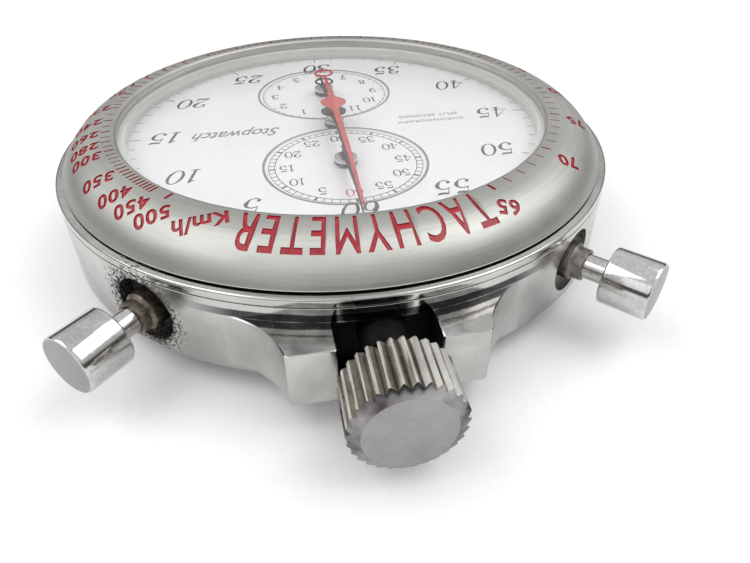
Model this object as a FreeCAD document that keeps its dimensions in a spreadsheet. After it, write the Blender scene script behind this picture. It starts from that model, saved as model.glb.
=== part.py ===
import FreeCAD, Part
import Sketcher
import math
import os

# A split-seconds stopwatch lying on its back, in millimetres.
# +Z leaves the dial, +Y points at the crown (12 o'clock), +X at 3 o'clock.
# The origin is the middle of the flat face of the case back.

DRIVING_SIZES = {
    # case
    "case_radius": 31.0,
    "case_rim_height": 11.25,
    "case_wall": 4.1,
    "flank_foot_height": 2.6,
    "back_rim": 3.4,
    "back_seat_height": 2.5,
    "back_flat_radius": 20.0,
    "back_thickness": 0.8,
    "rim_band_height": 0.8,
    "rim_groove_depth": 0.15,
    "neck_height": 11.9,
    "bezel_groove_width": 1.2,
    "bezel_groove_floor": 10.6,
    # bezel, crystal and flange
    "bezel_inset": 0.72,
    "bezel_gap": 0.2,
    "bezel_width": 6.28,
    "bezel_top_height": 15.12,
    "bezel_crown_radius": 6.07,
    "bezel_flat_width": 0.7,
    "crystal_edge": 0.7,
    "crystal_seat": 0.65,
    "crystal_rise": 2.15,
    "crystal_thickness": 1.0,
    "flange_height": 1.5,
    # dial and hands
    "dial_height": 12.5,
    "dial_thickness": 0.4,
    "dial_margin": 1.4,
    "dial_recess": 0.15,
    "minute_dial_distance": 9.7,
    "minute_dial_radius": 8.54,
    "hour_dial_distance": 10.29,
    "hour_dial_radius": 8.33,
    "counter_hand_lift": 0.62,
    "sweep_hand_lift": 1.65,
    "split_hand_lift": 2.75,
    "hand_thickness": 0.18,
    "hub_radius": 1.5,
    "needle_length": 21.4,
    "needle_droop": 1.2,
    "tail_length": 9.6,
    "tail_ring_radius": 1.18,
    # crown and pushers
    "crown_axis_height": 6.55,
    "crown_radius": 4.78,
    "crown_standoff": 4.7,
    "crown_length": 5.6,
    "crown_face_radius": 3.69,
    "crown_chamfer": 0.6,
    "flute_depth": 0.42,
    "stem_radius": 0.7,
    "stem_tube_radius": 2.2,
    "pusher_angle": 41.5,
    "pusher_radius": 2.87,
    "pusher_standoff": 3.77,
    "pusher_length": 4.6,
    "pusher_stem_radius": 1.25,
    "pusher_tube_radius": 1.9,
    "scoop_radius": 3.3,
    "guard_reach": 3.03,
    "crown_recess": 1.6,
    "guard_inner": 4.36,
    "guard_outer": 8.53,
    "guard_low": 3.2,
    "guard_high": 8.85,
    "guard_sweep": 9.0,
    # movement
    "movement_radius": 25.0,
    "plate_height": 9.4,
    "plate_thickness": 2.0,
    "bridge_height": 4.95,
    "bridge_thickness": 0.7,
    "pivot_radius": 0.2,
    "arbor_radius": 0.35,
    "running_clearance": 0.05,
    "assembly_clearance": 0.1,
    # wheel modules and levels above the case back
    "train_module": 0.19,
    "second_module": 0.17,
    "third_module": 0.15,
    "fourth_module": 0.13,
    "winding_module": 0.3,
    "ratchet_module": 0.25,
    "sweep_module": 0.14,
    "minute_module": 0.115,
    "wheel_thickness": 0.35,
    "low_wheel_level": 5.9,
    "high_wheel_level": 7.75,
    "barrel_level": 6.5,
    "ratchet_level": 4.3,
    "sweep_wheel_level": 4.0,
    "split_wheel_level": 3.0,
    "balance_level": 6.2,
    "barrel_height": 2.4,
    "barrel_wall": 0.4,
    "balance_radius": 5.2,
    "escape_radius": 3.0,
    "sweep_wheel_radius": 5.0,
    "split_wheel_radius": 4.2,
}

TEETH = {
    "barrel": 80, "second_pinion": 10, "second_wheel": 64, "third_pinion": 8,
    "third_wheel": 60, "fourth_pinion": 8, "fourth_wheel": 60, "escape_pinion": 7,
    "winding_pinion": 12, "crown_face": 24, "crown_wheel": 30, "ratchet_wheel": 50,
    "sweep_pinion": 10, "transfer_wheel": 60, "transfer_pinion": 8, "minute_wheel": 80,
}

document = FreeCAD.newDocument("stopwatch")
sheet = document.addObject("Spreadsheet::Sheet", "Sizes")
for row, (alias, number) in enumerate(DRIVING_SIZES.items(), start=1):
    sheet.set(f"A{row}", alias)
    sheet.set(f"B{row}", str(number))
    sheet.setAlias(f"B{row}", alias)
document.recompute()


class Size:
    """A number with the expression that gives it from the sheet."""

    def __init__(self, value, text):
        self.value = value
        self.text = text

    def _join(self, other, sign, value):
        return Size(value, f"({self.text} {sign} {as_size(other).text})")

    def __add__(self, other):
        return self._join(other, "+", self.value + as_size(other).value)

    def __sub__(self, other):
        return self._join(other, "-", self.value - as_size(other).value)

    def __mul__(self, other):
        return self._join(other, "*", self.value * as_size(other).value)

    def __truediv__(self, other):
        return self._join(other, "/", self.value / as_size(other).value)

    def __neg__(self):
        return Size(-self.value, f"(0 - {self.text})")


def as_size(number):
    if isinstance(number, Size):
        return number
    return Size(float(number), repr(float(number)))


class Sizes:
    """Every alias of the sheet as a Size."""

    def __getattr__(self, alias):
        return Size(float(getattr(sheet, alias)), f"Sizes.{alias}")


s = Sizes()
nodes = []


def bind(item, **properties):
    for name, number in properties.items():
        number = as_size(number)
        setattr(item, name, number.value)
        item.setExpression(name, number.text)
    return item


def place(item, x=0, y=0, z=0, rotation=None):
    numbers = [as_size(n) for n in (x, y, z)]
    turn = rotation or FreeCAD.Rotation()
    item.Placement = FreeCAD.Placement(FreeCAD.Vector(*[n.value for n in numbers]), turn)
    for letter, number in zip("xyz", numbers):
        item.setExpression(f"Placement.Base.{letter}", number.text)
    return item


def keep(item, label):
    item.Label = label
    nodes.append(item)
    return item


def cylinder(radius, height, x=0, y=0, z=0, rotation=None):
    item = bind(document.addObject("Part::Cylinder", "Rod"), Radius=radius, Height=height)
    return place(item, x, y, z, rotation)


def box(length, width, height, x=0, y=0, z=0, rotation=None):
    item = document.addObject("Part::Box", "Block")
    bind(item, Length=length, Width=width, Height=height)
    return place(item, x, y, z, rotation)


def fuse(*pieces):
    item = document.addObject("Part::MultiFuse", "Joined")
    item.Shapes = list(pieces)
    return item


def common(*pieces):
    item = document.addObject("Part::MultiCommon", "Shared")
    item.Shapes = list(pieces)
    return item


def cut(base, *tools):
    item = document.addObject("Part::Cut", "Trimmed")
    item.Base = base
    item.Tool = tools[0] if len(tools) == 1 else fuse(*tools)
    return item


def ring(outer, inner, height, x=0, y=0, z=0, rotation=None):
    hole = cylinder(inner, as_size(height) + 2, 0, 0, -1)
    rim = cylinder(outer, height)
    return place(cut(rim, hole), x, y, z, rotation)


def solid(shape, x=0, y=0, z=0):
    item = document.addObject("Part::Feature", "Shaped")
    item.Shape = shape
    return place(item, x, y, z)


def origin_plane(body, role):
    return next(f for f in body.Origin.OriginFeatures if f.Role == role)


def sketch_on(body, role, name):
    sketch = body.newObject("Sketcher::SketchObject", name)
    sketch.AttachmentSupport = [(origin_plane(body, role), "")]
    sketch.MapMode = "FlatFace"
    return sketch


def arc_between(start, end, radius):
    """The arc from start to end: a positive radius curves to the left of the chord."""
    chord = end - start
    half = chord.Length / 2
    normal = FreeCAD.Vector(-chord.y, chord.x, 0).normalize()
    side = math.copysign(1, radius)
    rise = math.sqrt(max(radius * radius - half * half, 0))
    centre = (start + end) * 0.5 + normal * (side * rise)
    first, last = (start, end) if side > 0 else (end, start)
    circle = Part.Circle(centre, FreeCAD.Vector(0, 0, 1), abs(radius))
    return Part.ArcOfCircle(circle, circle.parameter(first), circle.parameter(last))


def draw(sketch, outline):
    """A closed outline: (x, y), or (x, y, radius) where an arc arrives at the point."""
    points = [(as_size(p[0]), as_size(p[1])) for p in outline]
    spots = [FreeCAD.Vector(x.value, y.value, 0) for x, y in points]
    ends = []
    for index in range(len(outline)):
        after = (index + 1) % len(outline)
        if len(outline[after]) == 3:
            radius = as_size(outline[after][2])
            edge = sketch.addGeometry(arc_between(spots[index], spots[after], radius.value))
            ends.append((edge, 1, 2) if radius.value > 0 else (edge, 2, 1))
            size = radius if radius.value > 0 else -radius
            hold = sketch.addConstraint(Sketcher.Constraint("Radius", edge, size.value))
            sketch.setExpression(f"Constraints[{hold}]", size.text)
        else:
            edge = sketch.addGeometry(Part.LineSegment(spots[index], spots[after]))
            ends.append((edge, 1, 2))
    for index, (edge, first, last) in enumerate(ends):
        following = ends[(index + 1) % len(ends)]
        sketch.addConstraint(Sketcher.Constraint("Coincident", edge, last, *following[:2]))
        for kind, number in zip(("DistanceX", "DistanceY"), points[index]):
            fixed = Sketcher.Constraint(kind, -1, 1, edge, first, number.value)
            hold = sketch.addConstraint(fixed)
            sketch.setExpression(f"Constraints[{hold}]", number.text)


def turned(name, outline):
    """A body turned about Z from an outline of (radius, height) points."""
    body = document.addObject("PartDesign::Body", name)
    profile = sketch_on(body, "XZ_Plane", "Profile")
    draw(profile, outline)
    turn = body.newObject("PartDesign::Revolution", "Turned")
    turn.Profile = profile
    turn.ReferenceAxis = (profile, ["V_Axis"])
    turn.Angle = 360
    document.recompute()
    return body


def pocket(body, outline, offset=0, depth=None):
    """A pocket cut through the body, or to a depth, from a plane moved by offset."""
    before = body.Shape.Volume
    profile = sketch_on(body, "XY_Plane", "Opening")
    draw(profile, outline)
    offset = as_size(offset)
    raised = FreeCAD.Vector(0, 0, offset.value)
    profile.AttachmentOffset = FreeCAD.Placement(raised, FreeCAD.Rotation())
    profile.setExpression("AttachmentOffset.Base.z", offset.text)
    opening = body.newObject("PartDesign::Pocket", "Pocket")
    opening.Profile = profile
    bind(opening, Length=depth)
    document.recompute()
    if body.Shape.Volume >= before:
        opening.Reversed = True
        document.recompute()
    assert body.Shape.Volume < before, f"{body.Label}: a pocket cut nothing"
    return opening


def gear_face(teeth, module, start=0.0, bore=0.0):
    """A wheel's outline: straight-sided teeth with slack, tooth 0 pointing at angle start."""
    pitch = 2 * math.pi / teeth
    radius = teeth * module / 2
    root, tip = radius - 0.95 * module, radius + 0.7 * module
    steps = ((root, -0.27), (radius, -0.19), (tip, -0.08), (tip, 0.08), (radius, 0.19), (root, 0.27))
    corners = []
    for tooth in range(teeth):
        for reach, share in steps:
            angle = start + (tooth + share) * pitch
            corners.append(FreeCAD.Vector(reach * math.cos(angle), reach * math.sin(angle), 0))
    wires = [Part.makePolygon(corners + corners[:1])]
    if bore:
        wires.append(Part.Wire([Part.makeCircle(bore)]))
    return Part.Face(wires, "Part::FaceMakerBullseye")


def gear(teeth, module, thickness, start=0.0, bore=0.0, spokes=0):
    """A toothed wheel on the XY plane, crossed out by round-cornered windows."""
    wheel = gear_face(teeth, module, start, bore).extrude(FreeCAD.Vector(0, 0, thickness))
    if spokes:
        rim = teeth * module / 2 - 3 * module - 0.2
        windows = []
        for index in range(spokes):
            angle = 2 * math.pi * (index + 0.5) / spokes
            far = FreeCAD.Vector(rim * math.cos(angle), rim * math.sin(angle), 0)
            spread = math.pi / spokes * 0.72
            left = FreeCAD.Vector(rim * math.cos(angle - spread), rim * math.sin(angle - spread), 0)
            right = FreeCAD.Vector(rim * math.cos(angle + spread), rim * math.sin(angle + spread), 0)
            low = rim * 0.34
            near = FreeCAD.Vector(low * math.cos(angle), low * math.sin(angle), 0)
            outline = Part.Wire([
                Part.makeLine(near, left),
                Part.Arc(left, far, right).toShape(),
                Part.makeLine(right, near),
            ])
            windows.append(Part.Face(outline).extrude(FreeCAD.Vector(0, 0, thickness)))
        wheel = wheel.cut(windows)
    return wheel


def rod(radius, bottom, top):
    return Part.makeCylinder(radius, top - bottom, FreeCAD.Vector(0, 0, bottom))


def heading(start, end):
    return math.atan2(end[1] - start[1], end[0] - start[0])


def polar(origin, distance, degrees):
    angle = math.radians(degrees)
    return (origin[0] + distance * math.cos(angle), origin[1] + distance * math.sin(angle))


# ---------------------------------------------------------------- case
case_bore = s.case_radius - s.case_wall
NECK_WALL = 0.6
BACK_LIP_HEIGHT = 1.0
BACK_LIP_WIDTH = 0.8
FLANK_CURVE = 3.2
RIM_GROOVE_WIDTH = 0.15
RIM_EDGE = 0.25
GUARD_FLARE = 4.8
GUARD_ROOT = 1.5
SHOULDER_DROP = 3.0
FLARE_ROOT = 3.9
DRILL_OVERRUN = 3
SCOOP_DEPTH = 1.7
BACK_EDGE_HEIGHT = 1.1
BACK_CURVE = 40
BACK_HOLLOW_CURVE = 60
BACK_STEP = 0.5
BEZEL_LIP = 0.4
BEZEL_LIP_DROP = 0.26
BEZEL_LIP_CURVE = 0.5
FLANGE_SLOPE = 0.3
RING_SLACK = 0.1
RING_FOOT = 4.0
CROWN_EDGE = 0.35
CROWN_FACE_WALL = 1.3
CROWN_BORE_DEPTH = 3.2
CROWN_SLACK = 0.3
FLUTE_HALF_WIDTH = 0.56
FLUTE_OVERRUN = 0.2
FLUTES = 30
TUBE_GRIP = 1.8
PUSHER_TAIL = 24.9
PUSHER_STEP = 0.3
PUSHER_FOOT_EDGE = 0.2
PUSHER_EDGE = 0.25
TUBE_STEP = 0.3

back_opening = s.case_radius - s.back_rim
bezel_radius = s.case_radius - s.bezel_inset
bezel_opening = bezel_radius - s.bezel_width
dial_radius = bezel_opening + s.dial_margin
crown_start = s.case_radius + s.crown_standoff
pusher_start = s.case_radius + s.pusher_standoff
guard_end = s.case_radius + s.guard_reach
neck_radius = case_bore + NECK_WALL
groove_outer = neck_radius + s.bezel_groove_width
band_foot = s.case_rim_height - s.rim_band_height
dial_top = s.dial_height


def guard_outlines():
    """The plans of the two crown guards, each swept into the case by a hollow arc."""
    foot_x = s.guard_outer + GUARD_FLARE
    inner_foot = (s.guard_inner, s.case_radius - GUARD_ROOT)
    outer_foot = (foot_x, s.case_radius - FLARE_ROOT)
    shoulder = (foot_x, s.case_radius - SHOULDER_DROP)
    outer_tip = (s.guard_outer, guard_end)
    inner_tip = (s.guard_inner, guard_end)
    right = [inner_foot, outer_foot, shoulder, (*outer_tip, -s.guard_sweep), inner_tip]
    left = [(-x, y) for x, y in (inner_tip, outer_tip, shoulder, outer_foot, inner_foot)]
    left[2] = (*left[2], -s.guard_sweep)
    return right, left


def case_middle():
    body = turned("CaseMiddle", [
        (back_opening, BACK_LIP_HEIGHT),
        (back_opening + BACK_LIP_WIDTH, BACK_LIP_HEIGHT),
        (s.case_radius, s.flank_foot_height, FLANK_CURVE),
        (s.case_radius, band_foot - RIM_GROOVE_WIDTH),
        (s.case_radius - s.rim_groove_depth, band_foot - RIM_GROOVE_WIDTH),
        (s.case_radius - s.rim_groove_depth, band_foot),
        (s.case_radius, band_foot),
        (s.case_radius, s.case_rim_height - RIM_EDGE),
        (s.case_radius - RIM_EDGE, s.case_rim_height, RIM_EDGE),
        (groove_outer, s.case_rim_height),
        (groove_outer, s.bezel_groove_floor),
        (neck_radius, s.bezel_groove_floor),
        (neck_radius, s.neck_height),
        (case_bore, s.neck_height),
        (case_bore, s.back_seat_height),
        (back_opening, s.back_seat_height),
    ])
    plan = sketch_on(body, "XY_Plane", "GuardPlan")
    for outline in guard_outlines():
        draw(plan, outline)
    plan.AttachmentOffset = FreeCAD.Placement(
        FreeCAD.Vector(0, 0, s.guard_low.value), FreeCAD.Rotation())
    plan.setExpression("AttachmentOffset.Base.z", s.guard_low.text)
    guards = body.newObject("PartDesign::Pad", "Guards")
    guards.Profile = plan
    bind(guards, Length=s.guard_high - s.guard_low)
    document.recompute()
    tools = [drill(s.stem_tube_radius, case_bore - 2, s.case_radius + DRILL_OVERRUN, 0)]
    tools.append(box(
        s.guard_inner * 2, s.crown_recess + 1, s.guard_high - s.guard_low,
        -s.guard_inner, s.case_radius - s.crown_recess, s.guard_low))
    for angle in (-s.pusher_angle.value, s.pusher_angle.value):
        outer_end = s.case_radius + DRILL_OVERRUN
        tools.append(drill(s.pusher_tube_radius, case_bore - 2, outer_end, angle))
        tools.append(drill(s.scoop_radius, s.case_radius - SCOOP_DEPTH, outer_end, angle))
    return keep(cut(body, *tools), "case_middle")


def outward(angle):
    """Turns local +Z to the direction that leaves the case at the angle from 12 o'clock."""
    spin = FreeCAD.Rotation(FreeCAD.Vector(0, 0, 1), -angle)
    return spin * FreeCAD.Rotation(FreeCAD.Vector(1, 0, 0), -90)


def drill(radius, start, end, angle):
    """A rod along a radial line at the height of the crown's axis."""
    heading_out = outward(angle)
    base = heading_out.multVec(FreeCAD.Vector(0, 0, as_size(start).value))
    item = bind(document.addObject("Part::Cylinder", "Drill"), Radius=radius,
                Height=as_size(end) - start)
    item.Placement = FreeCAD.Placement(
        FreeCAD.Vector(base.x, base.y, s.crown_axis_height.value), heading_out)
    item.setExpression("Placement.Base.z", s.crown_axis_height.text)
    return item


def point_outward(body, angle, label):
    """Stands a piece turned about the radial line on that line."""
    place(body, 0, 0, s.crown_axis_height, outward(angle))
    return keep(body, label)


def case_back():
    wall = s.back_thickness
    edge = back_opening - s.assembly_clearance
    body = turned("CaseBack", [
        (0, 0), (s.back_flat_radius, 0), (edge, BACK_EDGE_HEIGHT, BACK_CURVE),
        (edge, s.back_seat_height - BACK_STEP),
        (edge - BACK_LIP_WIDTH, s.back_seat_height - BACK_STEP),
        (s.back_flat_radius, wall, -BACK_HOLLOW_CURVE), (0, wall),
    ])
    return keep(body, "case_back")


def bezel():
    ledge = dial_top + s.flange_height + 0.02
    inner = dial_radius + 0.2
    foot_outer = groove_outer - s.assembly_clearance
    foot_inner = neck_radius + s.assembly_clearance
    foot = s.bezel_groove_floor + s.assembly_clearance
    brim = s.case_rim_height + s.bezel_gap
    under = dial_top - s.dial_thickness + s.assembly_clearance
    body = turned("Bezel", [
        (foot_inner, foot), (foot_outer, foot), (foot_outer, brim), (bezel_radius, brim),
        (bezel_opening + BEZEL_LIP + s.bezel_flat_width, s.bezel_top_height,
         s.bezel_crown_radius),
        (bezel_opening + BEZEL_LIP, s.bezel_top_height),
        (bezel_opening, s.bezel_top_height - BEZEL_LIP_DROP, BEZEL_LIP_CURVE),
        (bezel_opening, ledge), (inner, ledge), (inner, under), (foot_inner, under),
    ])
    return keep(body, "bezel")


def crystal():
    seat = dial_top + s.flange_height + 0.05
    edge = bezel_opening - 0.05
    inside = edge - s.crystal_seat
    top = seat + s.crystal_rise + s.crystal_thickness
    rise = top - seat - s.crystal_edge
    hollow = (inside * inside + s.crystal_rise * s.crystal_rise) / (s.crystal_rise * 2)
    body = turned("Crystal", [
        (inside, seat, -hollow), (edge, seat), (edge, seat + s.crystal_edge),
        (0, top, (edge * edge + rise * rise) / (rise * 2)),
        (0, seat + s.crystal_rise),
    ])
    return keep(body, "crystal")


def flange_ring():
    inside = bezel_opening - s.crystal_seat - 0.1
    body = turned("Flange", [
        (inside + FLANGE_SLOPE, dial_top), (dial_radius + RING_SLACK, dial_top),
        (dial_radius + RING_SLACK, dial_top + s.flange_height),
        (inside, dial_top + s.flange_height),
    ])
    return keep(body, "flange_ring")


def movement_ring():
    under = dial_top - s.dial_thickness
    body = turned("MovementRing", [
        (s.movement_radius + RING_SLACK, RING_FOOT),
        (case_bore - s.assembly_clearance, RING_FOOT),
        (case_bore - s.assembly_clearance, under), (s.movement_radius + RING_SLACK, under),
    ])
    holes = [drill(s.stem_tube_radius + 0.1, s.movement_radius - 1, s.case_radius, 0)]
    for angle in (-s.pusher_angle.value, s.pusher_angle.value):
        holes.append(drill(s.pusher_tube_radius + 0.1, s.movement_radius - 1, s.case_radius, angle))
    return keep(cut(body, *holes), "movement_ring")


def dial():
    under = dial_top - s.dial_thickness
    floor = dial_top - s.dial_recess
    plate = cylinder(dial_radius, s.dial_thickness, 0, 0, under)
    cuts = [
        cylinder(s.minute_dial_radius, 1, 0, s.minute_dial_distance, floor),
        cylinder(s.hour_dial_radius, 1, 0, -s.hour_dial_distance, floor),
        cylinder(0.8, 2, 0, 0, under - 1),
        cylinder(0.45, 2, 0, s.minute_dial_distance, under - 1),
        cylinder(0.45, 2, 0, -s.hour_dial_distance, under - 1),
    ]
    return keep(cut(plate, *cuts), "dial")


def sweep_blade(lift):
    """A long hand: needle, round hub and ringed tail, its tip bent towards the dial."""
    level = (dial_top + lift).value
    thick = s.hand_thickness.value
    length, tail, droop = s.needle_length.value, s.tail_length.value, s.needle_droop.value
    hub, loop = s.hub_radius.value, s.tail_ring_radius.value
    bend = length * 0.55
    side = Part.makePolygon([
        FreeCAD.Vector(0, y, z) for y, z in (
            (-tail - loop - 1, level), (bend, level), (length + 1, level - droop),
            (length + 1, level - droop + thick), (bend, level + thick),
            (-tail - loop - 1, level + thick), (-tail - loop - 1, level))])
    strip = Part.Face(side).extrude(FreeCAD.Vector(6, 0, 0))
    strip.translate(FreeCAD.Vector(-3, 0, 0))
    tall = FreeCAD.Vector(0, 0, 6)
    floor = level - 3
    needle = Part.makePolygon([
        FreeCAD.Vector(x, y, floor) for x, y in (
            (0.42, 0), (0.07, length), (-0.07, length), (-0.42, 0), (-0.2, -tail + loop * 0.9),
            (0.2, -tail + loop * 0.9), (0.42, 0))])
    plan = Part.Face(needle).extrude(tall)
    plan = plan.fuse(Part.makeCylinder(hub, 6, FreeCAD.Vector(0, 0, floor)))
    loop_centre = FreeCAD.Vector(0, -tail, floor)
    loop_ring = Part.makeCylinder(loop, 6, loop_centre).cut(
        Part.makeCylinder(loop - 0.24, 6, loop_centre))
    plan = plan.fuse(loop_ring)
    return strip.common(plan)


def counter_hand(distance, length, label):
    """A short hand on its own hub, in the middle of a small dial."""
    level = s.counter_hand_lift.value
    needle = Part.makePolygon([
        FreeCAD.Vector(x, y, level) for x, y in (
            (0.28, 0), (0.06, length), (-0.06, length), (-0.28, 0),
            (-0.16, -2.6), (0.16, -2.6), (0.28, 0))])
    blade = Part.Face(needle).extrude(FreeCAD.Vector(0, 0, s.hand_thickness.value))
    hub = rod(1.22, 0.05, level + 0.12)
    bore = rod(0.3, -1, 2)
    return keep(solid(blade.fuse(hub).cut(bore), 0, distance, dial_top), label)


def sweep_hand():
    level = (dial_top + s.sweep_hand_lift).value
    blade = sweep_blade(s.sweep_hand_lift)
    pipe = rod(0.75, dial_top.value + 0.1, level).fuse(
        rod(1.15, dial_top.value + 0.1, dial_top.value + 0.75))
    hand = blade.fuse(pipe).cut(rod(0.5, 0, 40))
    return keep(solid(hand), "chronograph_seconds_hand")


def split_hand():
    level = (dial_top + s.split_hand_lift).value
    blade = sweep_blade(s.split_hand_lift)
    pipe = rod(0.55, level - 0.6, level)
    hand = blade.fuse(pipe).cut(rod(0.23, 0, level + 0.05))
    return keep(solid(hand), "split_seconds_hand")


# ---------------------------------------------------------------- crown and pushers
def crown():
    start, length = crown_start, s.crown_length
    bore = s.stem_tube_radius + CROWN_SLACK
    stem_bore = s.stem_radius
    body = turned("Crown", [
        (bore, start), (s.crown_radius - CROWN_EDGE, start),
        (s.crown_radius, start + CROWN_EDGE),
        (s.crown_radius, start + length - s.crown_chamfer),
        (s.crown_face_radius, start + length), (0, start + length),
        (0, start + length - CROWN_FACE_WALL), (stem_bore, start + length - CROWN_FACE_WALL),
        (stem_bore, start + CROWN_BORE_DEPTH), (bore, start + CROWN_BORE_DEPTH),
    ])
    root = s.crown_radius - s.flute_depth
    mouth = s.crown_radius + FLUTE_OVERRUN
    outline = [(root, 0), (mouth, -FLUTE_HALF_WIDTH), (mouth, FLUTE_HALF_WIDTH)]
    flute = pocket(body, outline, offset=start - 1, depth=length + 2)
    pattern = body.newObject("PartDesign::PolarPattern", "Flutes")
    pattern.Originals = [flute]
    pattern.Axis = (origin_plane(body, "Z_Axis"), [""])
    pattern.Angle = 360
    pattern.Occurrences = FLUTES
    body.Tip = pattern
    document.recompute()
    return point_outward(body, 0, "crown")


def winding_stem():
    slim, flange = s.stem_radius, s.stem_radius + 0.4
    end = crown_start + s.crown_length - 1.32
    shaft = turned("Stem", [
        (0, 19.6), (slim, 19.6), (slim, 21.3), (flange, 21.3), (flange, 21.8), (slim, 21.8),
        (slim, 22.9), (flange, 22.9), (flange, 23.4), (slim, 23.4), (slim, end), (0, end),
    ])
    square = box(0.9, 0.9, 3.9, -0.45, -0.45, 15.8)
    return point_outward(fuse(shaft, square), 0, "winding_stem")


def stem_collar():
    bore = s.stem_radius + s.running_clearance
    body = turned("StemCollar", [(bore, 21.85), (1.7, 21.85), (1.7, 22.85), (bore, 22.85)])
    return point_outward(body, 0, "stem_collar")


def crown_tube():
    bore = s.stem_radius + s.running_clearance
    body = turned("CrownTube", [
        (bore, case_bore - 1), (s.stem_tube_radius, case_bore - 1),
        (s.stem_tube_radius, crown_start + TUBE_GRIP), (bore, crown_start + TUBE_GRIP),
    ])
    return point_outward(body, 0, "crown_tube")


def pusher(angle, label):
    start, end = pusher_start, pusher_start + s.pusher_length
    slim = s.pusher_stem_radius
    body = turned("Pusher", [
        (0, PUSHER_TAIL), (slim - PUSHER_STEP, PUSHER_TAIL),
        (slim, PUSHER_TAIL + PUSHER_STEP), (slim, start),
        (s.pusher_radius - PUSHER_FOOT_EDGE, start),
        (s.pusher_radius, start + PUSHER_FOOT_EDGE), (s.pusher_radius, end - PUSHER_EDGE),
        (s.pusher_radius - PUSHER_EDGE, end), (0, end),
    ])
    return point_outward(body, angle, label)


def pusher_tube(angle, label):
    bore = s.pusher_stem_radius + s.running_clearance
    wide = s.pusher_tube_radius
    body = turned("PusherTube", [
        (bore, case_bore - NECK_WALL), (wide, case_bore - NECK_WALL),
        (wide, s.case_radius + TUBE_STEP),
        (wide - TUBE_STEP, s.case_radius + TUBE_STEP * 2),
        (wide - TUBE_STEP, s.case_radius + TUBE_STEP * 5),
        (bore, s.case_radius + TUBE_STEP * 5),
    ])
    return point_outward(body, angle, label)


# ---------------------------------------------------------------- movement layout
def spot(origin, pair_teeth, module, degrees):
    """The axis of a wheel in mesh, at the angle from its partner's axis."""
    distance = sum(TEETH[name] for name in pair_teeth) * as_size(module).value / 2
    return polar(origin, distance, degrees)


def crossing(first, first_reach, second, second_reach):
    """The point at both distances, on the right of the line from first to second."""
    span = math.dist(first, second)
    along = (span * span + first_reach ** 2 - second_reach ** 2) / (2 * span)
    aside = math.sqrt(first_reach ** 2 - along ** 2)
    ux, uy = (second[0] - first[0]) / span, (second[1] - first[1]) / span
    return (first[0] + ux * along + uy * aside, first[1] + uy * along - ux * aside)


CENTRE = (0.0, 0.0)
BARREL = (-9.5, 10.5)
SECOND = spot(BARREL, ("barrel", "second_pinion"), s.train_module, -105)
THIRD = spot(SECOND, ("second_wheel", "third_pinion"), s.second_module, -80)
FOURTH = spot(THIRD, ("third_wheel", "fourth_pinion"), s.third_module, -50)
ESCAPE = spot(FOURTH, ("fourth_wheel", "escape_pinion"), s.fourth_module, -75)
PALLET = polar(ESCAPE, s.escape_radius.value + 0.62, -35)
BALANCE = polar(PALLET, 4.5, -30)
MINUTE = (0.0, s.minute_dial_distance.value)
HOUR = (0.0, -s.hour_dial_distance.value)
TRANSFER = crossing(
    CENTRE, (TEETH["sweep_pinion"] + TEETH["transfer_wheel"]) * s.sweep_module.value / 2,
    MINUTE, (TEETH["transfer_pinion"] + TEETH["minute_wheel"]) * s.minute_module.value / 2)
winding_reach = (TEETH["crown_wheel"] + TEETH["ratchet_wheel"]) * s.ratchet_module.value / 2
CROWN_WHEEL = (0.0, BARREL[1] + math.sqrt(winding_reach ** 2 - BARREL[0] ** 2))
PINION_REACH = TEETH["crown_face"] * s.winding_module.value / 2

plate_floor = s.plate_height.value
bridge_floor = s.bridge_height.value
bridge_top = bridge_floor + s.bridge_thickness.value
thin = s.wheel_thickness.value
slack = s.running_clearance.value
low_level = s.low_wheel_level.value
high_level = s.high_wheel_level.value
dial_works_level = plate_floor + s.plate_thickness.value + 0.08


def mesh_start(teeth, from_angle):
    """Puts a gap between two teeth where the partner's tooth comes in."""
    return from_angle + math.pi + math.pi / teeth


def arbor(wheel, level, pinion, pinion_level, pinion_height, bottom, top):
    """A wheel and a pinion on one arbor with a pivot at each end."""
    wheel.translate(FreeCAD.Vector(0, 0, level))
    shape = wheel.fuse(rod(s.arbor_radius.value, bottom + 0.15, top - 0.15))
    shape = shape.fuse(rod(s.pivot_radius.value, bottom - 0.6, top + 0.6))
    if pinion:
        leaf = pinion.extrude(FreeCAD.Vector(0, 0, pinion_height))
        leaf.translate(FreeCAD.Vector(0, 0, pinion_level))
        shape = shape.fuse(leaf)
    return shape


def train_wheel(label, here, wheel_name, wheel_module, level, pinion_name, pinion_module,
                pinion_level, pinion_height, before, after, spokes=5):
    wheel = gear(TEETH[wheel_name], as_size(wheel_module).value, thin,
                 heading(here, after), 0, spokes)
    leaf = gear_face(TEETH[pinion_name], as_size(pinion_module).value,
                     mesh_start(TEETH[pinion_name], heading(before, here)))
    shape = arbor(wheel, level, leaf, pinion_level, pinion_height, bridge_top, plate_floor)
    return keep(solid(shape, here[0], here[1], 0), label)


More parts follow.
